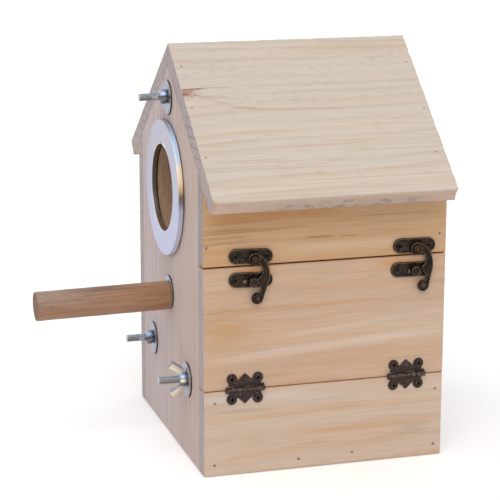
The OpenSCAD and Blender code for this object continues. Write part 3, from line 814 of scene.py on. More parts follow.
SIDE_MARKS = {
    "upper_board": {
        # Painted shade under the eave: shade dims this board's end grain, and the broad orange
        # bands at 166 and 174 darken its top.
        "seed": 1.3, "shade": 0.84, "blush_gain": 0.7,
        "streaks": [
            (-38.0, 166.0, 0.02, 0.0, 62.0, 6.0, ORANGE, 0.85),
            (10.0, 174.0, 0.0, 0.0, 95.0, 7.0, ORANGE, 0.85),
            (-30.0, 170.5, 0.01, 0.0, 60.0, 0.7, DEEP, 0.7),
            (26.0, 171.0, -0.005, 0.0, 70.0, 0.8, DEEP, 0.6),
            (-60.0, 163.0, 0.02, 0.0, 30.0, 0.6, DEEP, 0.7),
            (-66.0, 154.0, 0.02, 0.0, 22.0, 1.4, DEEP, 0.55),
            (-64.0, 158.6, 0.015, 0.0, 26.0, 0.8, (0.36, 0.15, 0.06), 0.7),
            (-2.0, 160.5, 0.0, 0.0, 46.0, 1.1, ORANGE, 0.6),
            (44.0, 163.0, 0.01, 0.0, 40.0, 0.8, DEEP, 0.5),
            (-52.0, 157.5, 0.03, 0.0, 45.0, 1.6, DEEP, 0.7),
            (-70.0, 150.5, 0.02, 0.0, 26.0, 1.2, DEEP, 0.6),
            (15.0, 145.0, 0.0, 0.0, 70.0, 5.0, (0.70, 0.50, 0.36), 0.6),
            (-4.0, 151.2, 0.0, 0.0, 12.0, 0.9, RED, 0.85),
            (14.0, 150.6, 0.0, 0.0, 7.0, 0.6, RED, 0.7),
            (33.0, 153.5, 0.02, 0.0, 10.0, 0.6, (0.45, 0.20, 0.14), 0.6),
        ],
    },
    "door_panel": {
        "seed": 5.9,
        "streaks": [
            (-12.0, 79.0, 0.075, 0.0, 95.0, 4.5, CREAM, 0.42),
            (-40.0, 79.0, 0.07, 0.0, 50.0, 1.2, CREAM, 0.35),
            (24.0, 93.0, 0.09, 0.0, 66.0, 2.4, CREAM, 0.35),
            (55.0, 83.0, 0.05, 0.0, 40.0, 3.4, CREAM, 0.4),
            (20.0, 76.0, 0.05, 0.0, 60.0, 1.0, (0.52, 0.34, 0.22), 0.4),
            (-40.0, 70.0, 0.02, 0.0, 52.0, 3.4, (0.52, 0.40, 0.31), 0.5),
            (-66.0, 107.0, 0.05, 0.0, 18.0, 0.6, (0.35, 0.20, 0.12), 0.7),
            (30.0, 118.0, -0.04, 0.0, 50.0, 2.4, (0.66, 0.40, 0.22), 0.6),
            (-45.0, 63.0, 0.05, 0.0, 36.0, 3.0, ORANGE, 0.4),
        ],
        "stains_and_shade": [
            (-66.0, 96.0, 28.0, 24.0, (0.55, 0.33, 0.165), 0.85),
            # Painted shade of the latches: the two deep orange bands just under the door's top
            # seam.
            (-50.0, 131.5, 20.0, 5.5, LATCH_SHADE, 0.95),
            (50.0, 131.5, 26.0, 5.5, LATCH_SHADE, 0.95),
            (56.0, 102.0, 34.0, 18.0, (0.56, 0.41, 0.32), 0.6),
        ],
    },
    "lower_board": {
        "seed": 9.2, "blush_gain": 0.4,
        "streaks": [
            (-28.0, 46.0, 0.02, 0.0, 50.0, 4.0, (0.60, 0.52, 0.42), 0.6),
            (-54.0, 41.5, 0.0, 0.0, 26.0, 1.5, GREY, 0.7),
            (6.0, 45.0, 0.03, 0.0, 22.0, 1.0, GREY, 0.6),
            (-14.0, 37.0, 0.015, 0.0, 65.0, 2.6, (0.56, 0.33, 0.17), 0.35),
            (-48.0, 50.0, 0.0, 0.0, 44.0, 3.6, (0.66, 0.62, 0.60), 0.5),
            (36.0, 24.0, 0.03, 0.0, 60.0, 4.5, (0.60, 0.37, 0.21), 0.6),
            (-40.0, 12.0, 0.10, 0.0, 40.0, 3.0, (0.62, 0.40, 0.25), 0.5),
        ],
        "stains_and_shade": [
            (60.0, 20.0, 17.0, 9.0, (0.42, 0.35, 0.28), 0.55),
            (-48.0, 22.0, 20.0, 11.0, (0.55, 0.40, 0.27), 0.5),
        ],
    },
    "left_board": {"seed": 14.6, "knots": [(32.0, 118.0, 4.5, 9.0)]},
}


class NESTBOX_OT_boards(bpy.types.Operator):
    """Roof and side boards with worn edges, each cut from its own piece of log"""

    bl_idname = "nestbox.boards"
    bl_label = "Make the boards"

    def execute(self, context):
        wood = settings().wood
        pitch, lean = wood.roof_pitch, math.tan(wood.seam_lean)
        ridge = corners_of("roof_right")[1][2]
        down = np.array([math.cos(pitch), 0, -math.sin(pitch)])
        eave = corners_of("roof_right")[1][0] / math.cos(pitch) - wood.eave_short / MM
        front = corners_of("roof_right")[0][1]

        def weathered(finish, colour, u, v, w, ripple):
            """Short flecks and thin lines, split rings at the front end and a stained eave."""
            split = finish.bell(((v + w * 1.25 + ripple * 4) / 9.0).fract(), 0.5, 0.11)
            split = split * finish.bell(v, 80.0, 40.0) * finish.step(u, front + 0.5, front + 0.2)
            colour = finish.mix(split * 0.8, colour, (0.13, 0.10, 0.105))
            fleck = finish.noise(finish.join(u / 6, v * 2.3, 0.0), detail=1.0)
            fleck = finish.step(fleck, 0.62, 0.72) * finish.step(v, 85.0, 50.0)
            colour = finish.mix(fleck * 0.45, colour, (0.34, 0.22, 0.14))
            thin = finish.noise(finish.join(u / 80 + ripple, v / 1.5, 0.0), detail=1.0)
            thin = finish.step(thin, 0.52, 0.68) * finish.step(v, 60.0, 88.0)
            colour = finish.mix(thin * 0.4, colour, (0.56, 0.37, 0.22))
            rim = finish.step(v, eave - 0.9, eave - 0.2)
            foot = finish.step(w, 2.5, 7.0)
            blot = finish.noise(finish.join(u / 6, v, w / 2.6), detail=3.0, rough=0.6)
            patch = finish.noise(finish.join(u / 40 + 2.0, v, 0.0), detail=1.0)
            foot = foot * finish.step(u, -65.0, -15.0) * finish.step(u, 72.0, 40.0)
            grime = finish.step(blot, 0.42, 0.66) * finish.step(patch, 0.28, 0.5) * foot
            worn = finish.mix(blot, (0.45, 0.295, 0.225), (0.64, 0.46, 0.36))
            colour = finish.mix(rim * finish.step(w, 0.5, 2.0) * 0.8, colour, worn)
            colour = finish.mix(rim * foot * 0.55, colour, (0.45, 0.365, 0.32))
            return finish.mix(rim * grime * 0.55, colour, (0.14, 0.12, 0.115))

        for sign, node in ((1, "roof_right"), (-1, "roof_left")):
            low, high = corners_of(node)
            finish = timber(
                node + "_pine", (0, 1, 0), down * (sign, 1, 1), (0, 0, ridge),
                tuple(wood.roof), tuple(wood.roof_line), tuple(wood.end), ring=7.0,
                contrast=0.42, blush=(0.66, 0.49, 0.35), blush_gain=0.3, bleach_gain=0.3,
                dashes=0.45, fibres=0.14, extra=weathered, **ROOF_MARKS[sign],
            )
            cut = {"torn": 0.7}
            if sign == 1:
                cut.update(skew=wood.saw_drift / MM / (high[0] + 4.8), chip=(1, 1.0, 1.2))
            part = plank(roof_corners(sign), low[1], high[1], 11 + sign, **cut)
            make_piece(node + "_board", [part], finish, "box", [node])

        # The slopes are how far three corners of a section rise or fall for its thickness, and
        # the seams are the corners with a saw cut.
        steep, droop = math.tan(pitch), wood.seam_droop / MM
        boards = (
            ("right_upper_board", "upper_board", "box", wood.upper, (lean, steep, 0), (1,),
             {"crisp": True, "droop": droop}),
            ("door_board", "door_panel", "door", wood.door, (0, 0, lean), (2, 1),
             {"crisp": True}),
            ("right_lower_board", "lower_board", "box", wood.lower, (0, 0, 0), (2,), {}),
            ("left_wall", "left_board", "box", wood.door, (0, 0, steep), (), {}),
        )
        for number, (node, piece, body, tone, slopes, seams, cut) in enumerate(boards):
            low, high = corners_of(node)
            first, second, third = (slope * (high[0] - low[0]) for slope in slopes)
            section = [
                (low[0], low[2]), (high[0], low[2] + first), (high[0], high[2] - second),
                (low[0], high[2] - third),
            ]
            finish = side_timber(
                piece.split("_")[0] + "_pine", tone, seams=[section[k][1] for k in seams],
                **SIDE_MARKS[piece],
            )
            part = plank(section, low[1], high[1], 21 + 10 * number, **cut)
            make_piece(piece, [part], finish, body, [node])
        return {"FINISHED"}


class NESTBOX_OT_walls(bpy.types.Operator):
    """Gable walls with upright grain, and the floor board"""

    bl_idname = "nestbox.walls"
    bl_label = "Finish the walls"

    def execute(self, context):
        wood = settings().wood
        low, high = corners_of("entry_ring")
        entry, bore = centre_of("entry_ring"), (high[0] - low[0]) / 2 - RING_OVER_BORE

        def cooled(finish, colour, u, v, w, ripple):
            """The board is cooler towards the left."""
            cool = finish.mix(finish.step(v, 80.0, -80.0), (0.98, 0.95, 0.90), (1.0, 1.0, 1.08))
            return finish.dim(1.0, colour, cool)

        def bored(finish, colour, u, v, w, ripple):
            """Cooled, and brown in the sawn bore of the entry."""
            reach = ((v - entry[0]) ** 2.0 + (u - entry[2]) ** 2.0) ** 0.5
            sawn = finish.step(reach, bore + 0.35, bore + 0.1)
            streaky = finish.noise(finish.join(u / 9, v / 1.6, w / 1.6), detail=3.0, rough=0.6)
            brown = finish.mix(streaky, (0.30, 0.17, 0.10), (0.62, 0.42, 0.27))
            return finish.mix(sawn, cooled(finish, colour, u, v, w, ripple), brown)

        for node, seed, extra in (("front_wall", 2.2, bored), ("back_wall", 6.6, cooled)):
            finish = timber(
                node + "_pine", (0, 0, 1), (1, 0, 0), (0, 0, 0), tuple(wood.gable),
                tuple(wood.gable_line), tuple(wood.end), pith=(-140.0, -260.0), ring=4.5,
                seed=seed, contrast=0.7, blush=(0.58, 0.40, 0.31), blush_gain=0.3,
                bleach=(0.62, 0.54, 0.52), wander=4.0, dashes=0.2, fibres=0.3, extra=extra,
            )
            paint(node, finish)
        finish = timber(
            "floor_pine", (0, 1, 0), (1, 0, 0), (0, 0, 0), tuple(wood.door),
            tuple(wood.side_line), tuple(wood.end), pith=(30.0, -90.0), ring=5.0, seed=4.4,
        )
        paint("floor_board", finish)
        return {"FINISHED"}


def paint(node, material):
    """Gives a CAD node its finish."""
    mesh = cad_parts[node].data
    mesh.materials.clear()
    mesh.materials.append(material)


# ---------------------------------------------------------------- metalwork shapes


def lathe(profile, closed=False, facets=0, depth=0.0):
    """Turned part; closed joins the profile's ends, and facets flatten it into that many sides."""
    points, faces = turned(profile)
    if facets:
        angle = np.arctan2(points[:, 1], points[:, 0])
        points[:, :2] *= (1 - depth * (1 - np.cos(facets * angle)) / 2)[:, None]
    if closed:
        faces = [wrap_faces(len(profile), settings().metal.turns, True)]
    return points, faces


def shifted(part, x=0.0, y=0.0, z=0.0):
    """The part moved by x, y and z."""
    return part[0] + np.array([x, y, z]), part[1]


def rod(radius, start, end, ease=0.15, segments=32, bore=0):
    """Cylinder along local X with eased ends, solid or with a round bore."""
    profile = [(bore, start), (radius - ease, start), (radius, start + ease), (radius, end - ease),
               (radius - ease, end), (bore, end)]
    points, faces = turned(profile, segments)
    if bore:
        faces = [wrap_faces(len(profile), segments, True)]
    return points[:, [2, 0, 1]], faces


def cross_screw(radius, rise, size=22):
    """Domed screw head with a cross recess, on the plane z = 0.

    A square grid (a, b) is mapped to the disc by x = a sqrt(1 - b^2/2), y = b sqrt(1 - a^2/2).
    The dome drops to the plane at its rim, and each arm of the recess is a product of two smooth
    steps, deepest in the middle.
    """
    line = np.linspace(-1, 1, 2 * size + 1)
    a, b = np.meshgrid(line, line, indexing="ij")
    x, y = a * np.sqrt(1 - b**2 / 2), b * np.sqrt(1 - a**2 / 2)
    reach = np.sqrt(x**2 + y**2)
    edge = np.sqrt(np.clip(1 - (np.clip(reach - 0.8, 0, 1) / 0.2) ** 2, 0, 1))
    height = rise * (0.72 * edge + 0.28 * (1 - reach**2))

    def arm(p, q):
        """One arm of the cross, along q."""
        wide = np.clip((0.20 - np.abs(p)) / 0.1, 0, 1)
        long = np.clip((0.64 - np.abs(q)) / 0.18, 0, 1)
        return wide * long

    height -= rise * 0.85 * np.maximum(arm(x, y), arm(y, x))
    side = len(line)
    points = np.stack([x * radius, y * radius, np.maximum(height, 0)], -1).reshape(-1, 3)
    index = np.arange(side * side).reshape(side, side)
    quads = np.stack([index[:-1, :-1], index[1:, :-1], index[1:, 1:], index[:-1, 1:]], -1)
    border = np.concatenate([index[:-1, 0], index[-1, :-1], index[:0:-1, -1], index[0, :0:-1]])
    return points, [quads.reshape(-1, 4), border[None]]


def rolled(part, degrees):
    """The part turned about local Z."""
    c, s = math.cos(math.radians(degrees)), math.sin(math.radians(degrees))
    return part[0] @ np.array([[c, s, 0], [-s, c, 0], [0, 0, 1.0]]), part[1]


def stadium(long, wide, inset, steps=14):
    """Outline of a bar with round ends, pulled in by inset."""
    reach, radius = (long - wide) / 2, wide / 2 - inset
    return np.concatenate([
        arc((reach, 0), radius, -90, 90, steps), arc((-reach, 0), radius, 90, 270, steps)
    ])


def turn_of(start, end):
    """Heading from one point to another, in degrees."""
    return math.degrees(math.atan2(end[1] - start[1], end[0] - start[0]))


def crossing(first, r1, second, r2):
    """Where two circles cross, left of the line from the first centre to the second."""
    first, second = np.array(first, float), np.array(second, float)
    gap = np.linalg.norm(second - first)
    way = (second - first) / gap
    along = (gap**2 + r1**2 - r2**2) / (2 * gap)
    return first + along * way + math.sqrt(r1**2 - along**2) * np.array([-way[1], way[0]])


def hook_outline(inset, reach):
    """Outline of the horn-shaped hook, pivot at the origin, as one chain of arcs.

    Convex arcs lose the inset from their radius and hollow ones gain it, so that every inset
    gives a parallel outline with the same number of points. reach is the distance to the post.
    """
    knob, knob_r = (KNOB, -reach - KNOB_DROP), 3.7 - inset
    back, back_r = np.array([-7.6, -10]), 17.7 - inset
    eye, lean = 4 - inset, math.radians(22.2)
    way = np.array([math.cos(lean), math.sin(lean)])
    start = back + back_r * way
    bend = (start @ start - eye**2) / (2 * (start @ way - eye))
    bend_c = start - bend * way
    throat, throat_r = (0.2, -7.3), 5.2 + inset
    post_r = 1.7 + inset
    neck, neck_r = (0.6, -reach - 4.2), 3.8 + inset
    gap = math.dist(back, knob)
    side = turn_of(back, knob) + math.degrees(math.acos((back_r - knob_r) / gap))
    eye_p = crossing((0, 0), eye, throat, throat_r)
    knob_p = crossing(neck, neck_r, knob, knob_r)
    return np.concatenate([
        arc(knob, knob_r, turn_of(knob, knob_p), 360 + side, 26),
        arc(back, back_r, side, 22.2, 14),
        arc(bend_c, bend, 22.2, turn_of(bend_c, (0, 0)), 12),
        arc((0, 0), eye, turn_of(bend_c, (0, 0)), 360 + turn_of((0, 0), eye_p), 30),
        arc(throat, throat_r, turn_of(throat, eye_p), -72 + 14 * inset, 18),
        arc((0, -reach), post_r, 30, -38, 8),
        arc(neck, neck_r, 56, turn_of(neck, knob_p), 10),
    ])


def leaf_outline():
    """Outline of one hinge leaf above its knuckle: two round lobes and a point between them."""
    lobe, radius, half, foot = np.array(LOBE), 3.4, 10.6, 2.05
    low = math.degrees(math.asin(-math.sqrt(radius**2 - (half - lobe[0]) ** 2) / radius))
    valley, tip = (4.4, 5.9), (0.4, 9.7)
    right = np.concatenate([
        [(half, foot)], arc(lobe, radius, low, 191, 26), [valley], [tip],
    ])
    return np.concatenate([right, right[::-1] * (-1, 1)])


def wing_outline(span, lean=34.5, width=5.4, corner=0.6):
    """Outline of one wing, radius by height: from the hub's foot it leans out to a square tip."""
    turn = math.radians(lean)
    along = np.array([math.sin(turn), math.cos(turn)])
    across = np.array([-math.cos(turn), math.sin(turn)])
    tip = np.array([span / 2, 8.6]) - corner * along
    return np.concatenate([
        [(2.8, 0.5), (5.6, 0.5), (8.4, 3.1)],
        arc(tip + corner * across, corner, -lean, 90 - lean, 6),
        arc(tip + (width - corner) * across, corner, 90 - lean, 180 - lean, 6),
        [(4.3, 5.4), (2.8, 3.9)],
    ])


# ---------------------------------------------------------------- front metalwork


class NESTBOX_OT_ring(bpy.types.Operator):
    """Guard ring: a satin face with a rounded rim, on a narrower flange"""

    bl_idname = "nestbox.ring"
    bl_label = "Make the guard ring"

    def execute(self, context):
        low, high = corners_of("entry_ring")
        outer, out = (high[0] - low[0]) / 2, high[1] - low[1]
        inner, foot = outer - RING_WIDTH, outer - FLANGE_INSET
        profile = [(inner, 0), (foot, 0), (foot, FLANGE), (outer - 0.5, FLANGE)]
        profile += arc((outer - 0.25, FLANGE + 0.25), 0.25, -90, 0, 5).tolist()
        profile += arc((outer - 0.4, out - 0.4), 0.4, 0, 90, 8).tolist()
        profile += [(outer - 3, out), (inner + 3, out)]
        profile += arc((inner + 0.4, out - 0.4), 0.4, 90, 180, 6).tolist()
        centre = centre_of("entry_ring")
        part = placed(lathe(profile, closed=True), (centre[0], high[1], centre[2]), *FRONT)
        make_piece("guard_ring", [part], ring_metal(), "box", ["entry_ring"])
        return {"FINISHED"}


class NESTBOX_OT_perch(bpy.types.Operator):
    """Perch dowel"""

    bl_idname = "nestbox.perch"
    bl_label = "Make the perch"

    def execute(self, context):
        wood = settings().wood
        low, high = corners_of("perch")
        span, wide = high[1] - low[1], high[0] - low[0]
        radius = wide / 2
        sag = math.asin((high[2] - low[2] - wide) / span)
        axis = np.array([0, -math.cos(sag), -math.sin(sag)])
        base = np.array([(low[0] + high[0]) / 2, high[1], high[2] - radius])
        long = span / math.cos(sag) - radius * math.sin(sag)
        way = np.array([0, -math.sin(sag), math.cos(sag)])
        rows = np.linspace(0, long - 1.2, 30)
        profile = [(0.01, 0), (radius * 0.6, 0)]
        profile += [(radius - 0.05 + 0.05 * math.sin(row * 0.31), row) for row in rows]
        profile += arc((radius - 1.0, long - 1.0), 1.0, 20, 90, 5).tolist()
        profile += [(radius * 0.6, long + 0.05), (0.01, long + 0.08)]
        part = placed(lathe(profile), base, (1, 0, 0), way)
        part[0][:, 1] = np.minimum(part[0][:, 1], high[1])

        def handled(finish, colour, u, v, w, ripple):
            """A painted highlight, lighter and bluer, on top towards the tip; browner at the wall,
            with a dark streak on top.
            """
            # Painted highlight on the upper side, towards the tip.
            top_highlight = finish.step(u + ripple * 20.0, 28.0, 84.0) * finish.step(w, -3.0, 5.0)
            top_highlight = top_highlight * finish.step(u, long - 0.5, long - 1.0)
            colour = finish.dim(top_highlight, colour, (1.0, 1.21, 1.48))
            colour = finish.dim(finish.step(u, 36.0, 4.0), colour, (0.96, 0.90, 0.80))
            streak = finish.bell(u + ripple * 8.0, 45.0, 27.0) * finish.step(w, 7.4, 8.6)
            return finish.dim(streak, colour, (0.66, 0.68, 0.74))

        finish = timber(
            "perch_wood", axis, (1, 0, 0), base, tuple(wood.dowel),
            tuple(0.6 * part for part in wood.dowel), tuple(0.53 * part for part in wood.dowel),
            pith=(-7.0, 26.0), ring=3.4, seed=7.7, contrast=0.35, blush=(0.36, 0.16, 0.08),
            blush_gain=0.4, bleach=(0.54, 0.36, 0.26), bleach_gain=0.5, wander=2.5, dashes=0.8,
            fibres=0.5, extra=handled,
        )
        make_piece("perch_dowel", [part], finish, "box", ["perch"])
        return {"FINISHED"}


def washer_part(node):
    """Pressed washer, its outer edge rolled over on the front."""
    low, high = corners_of(node)
    outer, thick = (high[0] - low[0]) / 2, high[1] - low[1]
    hole = 2.75 if node == "perch_washer" else 3.2
    profile = [(hole, 0), (outer - 0.15, 0), (outer, 0.15)]
    profile += arc((outer - 0.4, thick - 0.4), 0.4, 0, 90, 6).tolist()
    profile += [(outer * 0.7, thick), (hole + 0.4, thick), (hole, thick - 0.3)]
    centre = centre_of(node)
    return placed(lathe(profile, closed=True), (centre[0], high[1], centre[2]), *FRONT)


def screw_body(inner, roll, straight, tip):
    """Pan head inside the wall, and its plain shank, which runs straight and then to the tip."""
    head, faces = rolled(cross_screw(PAN_RADIUS, PAN_RISE), roll)
    shank = [(0.01, -inner - 0.5), (BOLT_RADIUS, -inner), (BOLT_RADIUS, straight), (0.01, tip)]
    return [(head * (1, -1, -1) + (0, 0, -inner), faces), turned(shank, 40)]


def bolt_part(spot, wall, reach, inner):
    """Threaded bolt: the radius falls by the thread depth where z / pitch - angle / turn wraps."""
    metal = settings().metal
    pitch, deep = metal.thread_pitch / MM, metal.thread_depth / MM
    start, end = 1.0, reach
    rows = int((end - start) / pitch * 9)
    z = np.linspace(start, end, rows)[:, None]
    angle = np.linspace(0, 2 * np.pi, 40, endpoint=False)[None]
    wave = np.abs(((z / pitch - angle / (2 * np.pi)) % 1.0) * 2 - 1)
    crest = np.clip(1.25 - wave * 1.25, 0, 1) * np.clip((z - THREAD_START) / 0.3, 0, 1)
    plain = z < THREAD_START
    radius = BOLT_RADIUS - deep * np.where(plain, 1.0, crest)
    radius = np.minimum(radius, BOLT_RADIUS - 0.5 + (end - z) * 0.9)
    loops = np.stack([radius * np.cos(angle), radius * np.sin(angle), z + 0 * angle], -1)
    cap = loops[-1:] * (0.5, 0.5, 1)
    body = screw_body(inner, 20, 1.1, 1.1)
    # Painted shade deep in the thread grooves, carried by the mesh attribute.
    groove_shade = np.where(plain, 0.0, 1 - crest) * (z < end - 0.6)
    wears = [np.append((groove_shade + 0 * angle).ravel(), np.zeros(cap.shape[1]))]
    wears += [np.zeros(len(part[0])) for part in body]
    parts = [stack(np.concatenate([loops, cap])), *body]
    return [placed(part, (spot[0], wall, spot[1]), *FRONT) for part in parts], wears


def wing_nut_part(spot, wall, thick, turn):
    """Barrel hub with two cast wings; turn is how far round it stopped, in degrees."""
    outline = wing_outline(settings().metal.wing_span / MM)
    hub = [
        (2.3, 0.1), (4.2, 0.05), (4.3, 0.15), (4.35, 0.75), (4.75, 0.95), (4.8, 1.7), (4.78, 2.3),
        (4.6, 3.3), (4.2, 4.2), (3.7, 4.75), (3.2, 4.98), (2.6, 5.0), (2.3, 4.7),
    ]
    parts = [lathe(hub, closed=True)]
    levels = [(0.22, -1.1), (0.06, -1.04), (0.0, -0.88), (0.0, 0.88), (0.06, 1.04), (0.22, 1.1)]
    wing = stack(relief(lambda inset: pulled_in(outline, inset), levels))
    for side in (90, 270):
        heading = math.radians(side)
        parts.append(placed(wing, (0, 0, 0), (math.cos(heading), math.sin(heading), 0), (0, 0, 1)))
    spot = (spot[0], wall - thick, spot[1])
    # Painted shade along the wings' edges and at the foot of the hub, where it sits on the washer.
    edge = np.repeat([0.0, 0.3, 0.7, 0.7, 0.3, 0.0], len(wing[0]) // len(levels))
    wears = [np.repeat([1.0] * 4 + [0.0] * 9, len(parts[0][0]) // len(hub)), edge, edge]
    return [placed(rolled(part, turn), spot, *FRONT) for part in parts], wears


class NESTBOX_OT_fasteners(bpy.types.Operator):
    """Washers, threaded bolts, wing nuts and the perch screw"""

    bl_idname = "nestbox.fasteners"
    bl_label = "Make the fasteners"

    def execute(self, context):
        tones = settings().metal
        # The zinc tones passed below are painted reflections: facing up, to the door side, down and
        # forwards.
        sky, warm, face = tuple(tones.zinc), tuple(tones.zinc_side_reflection), tuple(tones.zinc_front_reflection)
        cast = zinc("zinc_cast", sky, warm, (0.22, 0.22, 0.26), face)
        thread = zinc(
            "zinc_thread", (0.31, 0.36, 0.405), (0.50, 0.40, 0.26), (0.27, 0.27, 0.31),
            (0.62, 0.66, 0.75), painted_shade=0.35,
        )
        # Painted reflection of the dark wood on the washers' rims; forwards they keep a painted
        # front tone.
        edge = (0.12, 0.08, 0.05)
        pressed = zinc("zinc_pressed", edge, edge, edge, tuple(0.82 * part for part in face))
        wall = corners_of("front_wall")[0][1]
        inner = corners_of("front_wall")[1][1] - wall
        for place, turn in {"top": 95, "left": 99, "right": 8}.items():
            bolt, washer, nut = "hanger_bolt_" + place, "washer_" + place, "wing_nut_" + place
            spot = centre_of(bolt)[[0, 2]]
            reach, thick = (wall - corners_of(node)[0][1] for node in (bolt, washer))
            made = (
                ("washer_%s_disc", pressed, washer, ([washer_part(washer)], None), 35),
                ("bolt_%s", thread, bolt, bolt_part(spot, wall, reach, inner), 50),
                ("wing_nut_cast_%s", cast, nut, wing_nut_part(spot, wall, thick, turn), 35),
            )
            for name, finish, node, (parts, wears), crease in made:
                make_piece(
                    name % place, parts, finish, "box", [node], wears, crease
                )
        make_piece(
            "perch_washer_disc", [washer_part("perch_washer")], pressed, "box",
            ["perch_washer"],
        )
        centre = centre_of("perch_screw")
        body = screw_body(inner, 35, 20, 24)
        make_piece(
            "perch_screw_pan", [placed(p, (centre[0], wall, centre[2]), *FRONT) for p in body],
            thread, "box", ["perch_screw"],
        )
        return {"FINISHED"}


# ---------------------------------------------------------------- side metalwork


def bead_plate(long, wide, steps=14):
    """Cast plate with a raised bead round its edge, and its wear."""
    levels = [
        (0.1, 0.0), (0.0, 0.12), (0.0, 1.1), (0.12, 1.42), (0.4, 1.6), (0.7, 1.5), (0.95, 1.15),
        (1.2, 1.0),
    ]
    wear_and_painted_light = [0, 0, 0, 0.3, 0.85, 0.4, 0.1, 0.15]
    loops = relief(lambda inset: stadium(long, wide, inset, steps), levels)
    return stack(loops), np.repeat(wear_and_painted_light, loops.shape[1])


def screw_wear(part, rise, pit):
    """Wear of a screw head: rubbed at its shoulder, black in the recess out to the radius pit."""
    reach, height = np.hypot(part[0][:, 0], part[0][:, 1]), part[0][:, 2] / rise
    return np.where(reach < pit, -1.0, np.clip(height, 0, 1) ** 2 * 0.55)


